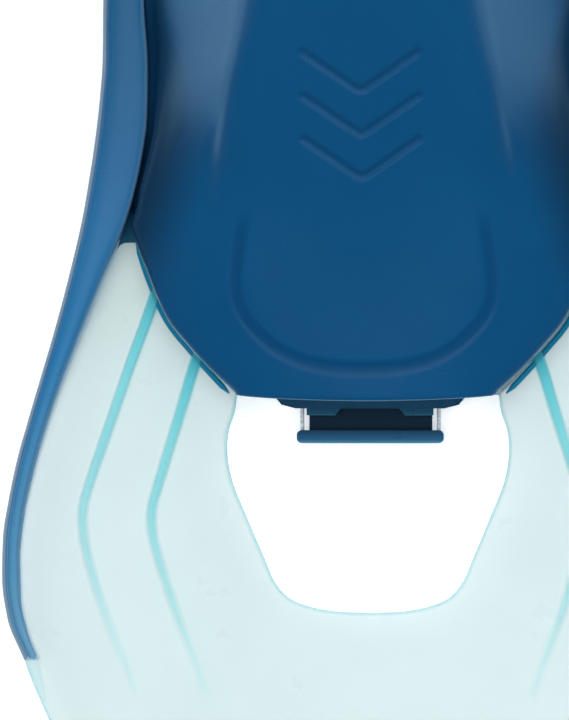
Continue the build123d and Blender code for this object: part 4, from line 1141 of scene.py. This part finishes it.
soft_part("footbed", "footbed_skin", 1.0, press_footbed, FOAM_M, "fin", "footbed")
soft_part("heel_pad", "heel_pad_skin", 0.62, press_heel_pad, FOAM_M, "heel", "footbed")
soft_part("heel_cup", "heel_cup_skin", 0.95, press_cup, CUP_M, "heel", "pocket_rubber")
soft_part("heel_pull_tab", "heel_pull_tab_skin", 0.5, press_tab, CUP_M, "heel", "pocket_rubber")
soft_part("outsole_pads", "outsole_skin", 0.62, press_tread, SOLE_M, "fin", "outsole")
soft_part("heel_outsole", "heel_outsole_skin", 0.7, press_tread, SOLE_M, "heel", "outsole")

# ------------------------------------------------------------------ carried-over CAD nodes
def dress(node, mat, bevel=0.0, segments=2, angle=35):
    ob = NODES[node]
    for s in ob.material_slots:
        s.material = mat.m
    if not ob.material_slots:
        ob.data.materials.append(mat.m)
    if bevel:
        md = ob.modifiers.new("edge_round", "BEVEL")
        md.width = bevel * MM
        md.segments = segments
        md.limit_method = "ANGLE"
        md.angle_limit = math.radians(angle)
        md.harden_normals = True


for node, mat, bevel in (
    ("under_shell_left", SHELL, 0.0), ("under_shell_right", SHELL, 0.0), ("sole_tray", TRAY_PAINTED_LIGHT_M, 0.35),
    ("slider_cover", TRAY, 0.0), ("cover_screws", STEEL, 0.0), ("stop_pins", STEEL, 0.0),
    ("detent_spring", STEEL, 0.0),
    ("lock_bar", BAR_PAINTED_LIGHT_M, 0.45), ("guide_rods", ROD, 0.0), ("lock_pawl", BAR, 0.2), ("pawl_pin", STEEL, 0.0),
    ("heel_slider", TRAY, 0.25), ("heel_screws", STEEL, 0.0),
):
    dress(node, mat, bevel)

# ------------------------------------------------------------------ floor, light, camera
me = bpy.data.meshes.new("floor")
s = 4.0
me.from_pydata([(-s, -s, -0.0004), (s, -s, -0.0004), (s, s, -0.0004), (-s, s, -0.0004)], [], [(0, 1, 2, 3)])
floor = bpy.data.objects.new("floor", me)
bpy.context.scene.collection.objects.link(floor)
fm = Mat("floor_look")
fm.color(fm.ramp(fm.noise(3.0, 3.0), [(0.3, (0.93, 0.93, 0.93, 1)), (0.7, (0.95, 0.95, 0.95, 1))]))
fm.rough(0.9)
fm.p.inputs["Specular IOR Level"].default_value = 0.1
fm.p.inputs["Emission Color"].default_value = (1.0, 1.0, 1.0, 1.0)
fm.p.inputs["Emission Strength"].default_value = 0.42
me.materials.append(fm.m)
floor.visible_glossy = False


def area(name, loc, size, power, target=(0, 0, 0.03), size_y=None, color=(1, 1, 1)):
    L = bpy.data.lights.new(name, "AREA")
    L.shape = "RECTANGLE"
    L.size = size
    L.size_y = size_y or size
    L.energy = power
    L.color = color
    o = bpy.data.objects.new(name, L)
    o.location = loc
    d = Vector(target) - Vector(loc)
    o.rotation_euler = d.to_track_quat("-Z", "Y").to_euler()
    o.visible_camera = False
    bpy.context.scene.collection.objects.link(o)
    return o


top_light = area("overhead", (0.0, 0.15, 2.6), 2.6, 90, size_y=2.4, target=(0, 0, 0))
top_light.visible_glossy = False
area("back", (0.2, 1.7, 0.95), 1.2, 6.0, size_y=0.6)

world = bpy.data.worlds.new("studio")
bpy.context.scene.world = world
world.use_nodes = True
nt = world.node_tree
nt.nodes.clear()
wo = nt.nodes.new("ShaderNodeOutputWorld")
bg = nt.nodes.new("ShaderNodeBackground")
tc = nt.nodes.new("ShaderNodeTexCoord")
sep = nt.nodes.new("ShaderNodeSeparateXYZ")
rp = nt.nodes.new("ShaderNodeValToRGB")
nt.links.new(tc.outputs["Generated"], sep.inputs[0])
lean = nt.nodes.new("ShaderNodeMath")
lean.operation = "MULTIPLY_ADD"
nt.links.new(sep.outputs[1], lean.inputs[0])
lean.inputs[1].default_value = -0.05
nt.links.new(sep.outputs[2], lean.inputs[2])
half = nt.nodes.new("ShaderNodeMath")
half.operation = "MULTIPLY_ADD"
nt.links.new(lean.outputs[0], half.inputs[0])
half.inputs[1].default_value = 0.5
half.inputs[2].default_value = 0.5
nt.links.new(half.outputs[0], rp.inputs[0])
els = rp.color_ramp.elements
els[0].position = 0.0
els[0].color = (0.50, 0.84, 1.06, 1)
els[1].position = 0.37
els[1].color = (0.50, 0.84, 1.06, 1)
for pos, col in ((0.478, (0.09, 0.11, 0.125, 1)), (0.51, (0.06, 0.07, 0.075, 1)), (0.63, (0.03, 0.034, 0.038, 1))):
    e = els.new(pos)
    e.color = col
nt.links.new(rp.outputs[0], bg.inputs[0])
bg.inputs[1].default_value = 1.9
nt.links.new(bg.outputs[0], wo.inputs[0])

cam_data = bpy.data.cameras.new("cam")
cam = bpy.data.objects.new("cam", cam_data)
bpy.context.scene.collection.objects.link(cam)
cam_data.sensor_width = 36.0
cam_data.lens = 365.5
cam_data.clip_start = 0.05
cam_data.clip_end = 20.0
look = Vector((-0.02288, -0.03945, 0.024))
cam.location = Vector((0.090, -0.03945, 2.024))
fwd = (look - cam.location).normalized()
right = fwd.cross(Vector((0, 1, 0))).normalized()
upv = right.cross(fwd).normalized()
cam.rotation_euler = Matrix((right, upv, -fwd)).transposed().to_euler()
bpy.context.scene.camera = cam
vs = bpy.context.scene.view_settings
vs.view_transform = "Standard"
vs.look = "None"
vs.exposure = 0.0
vs.gamma = 1.0
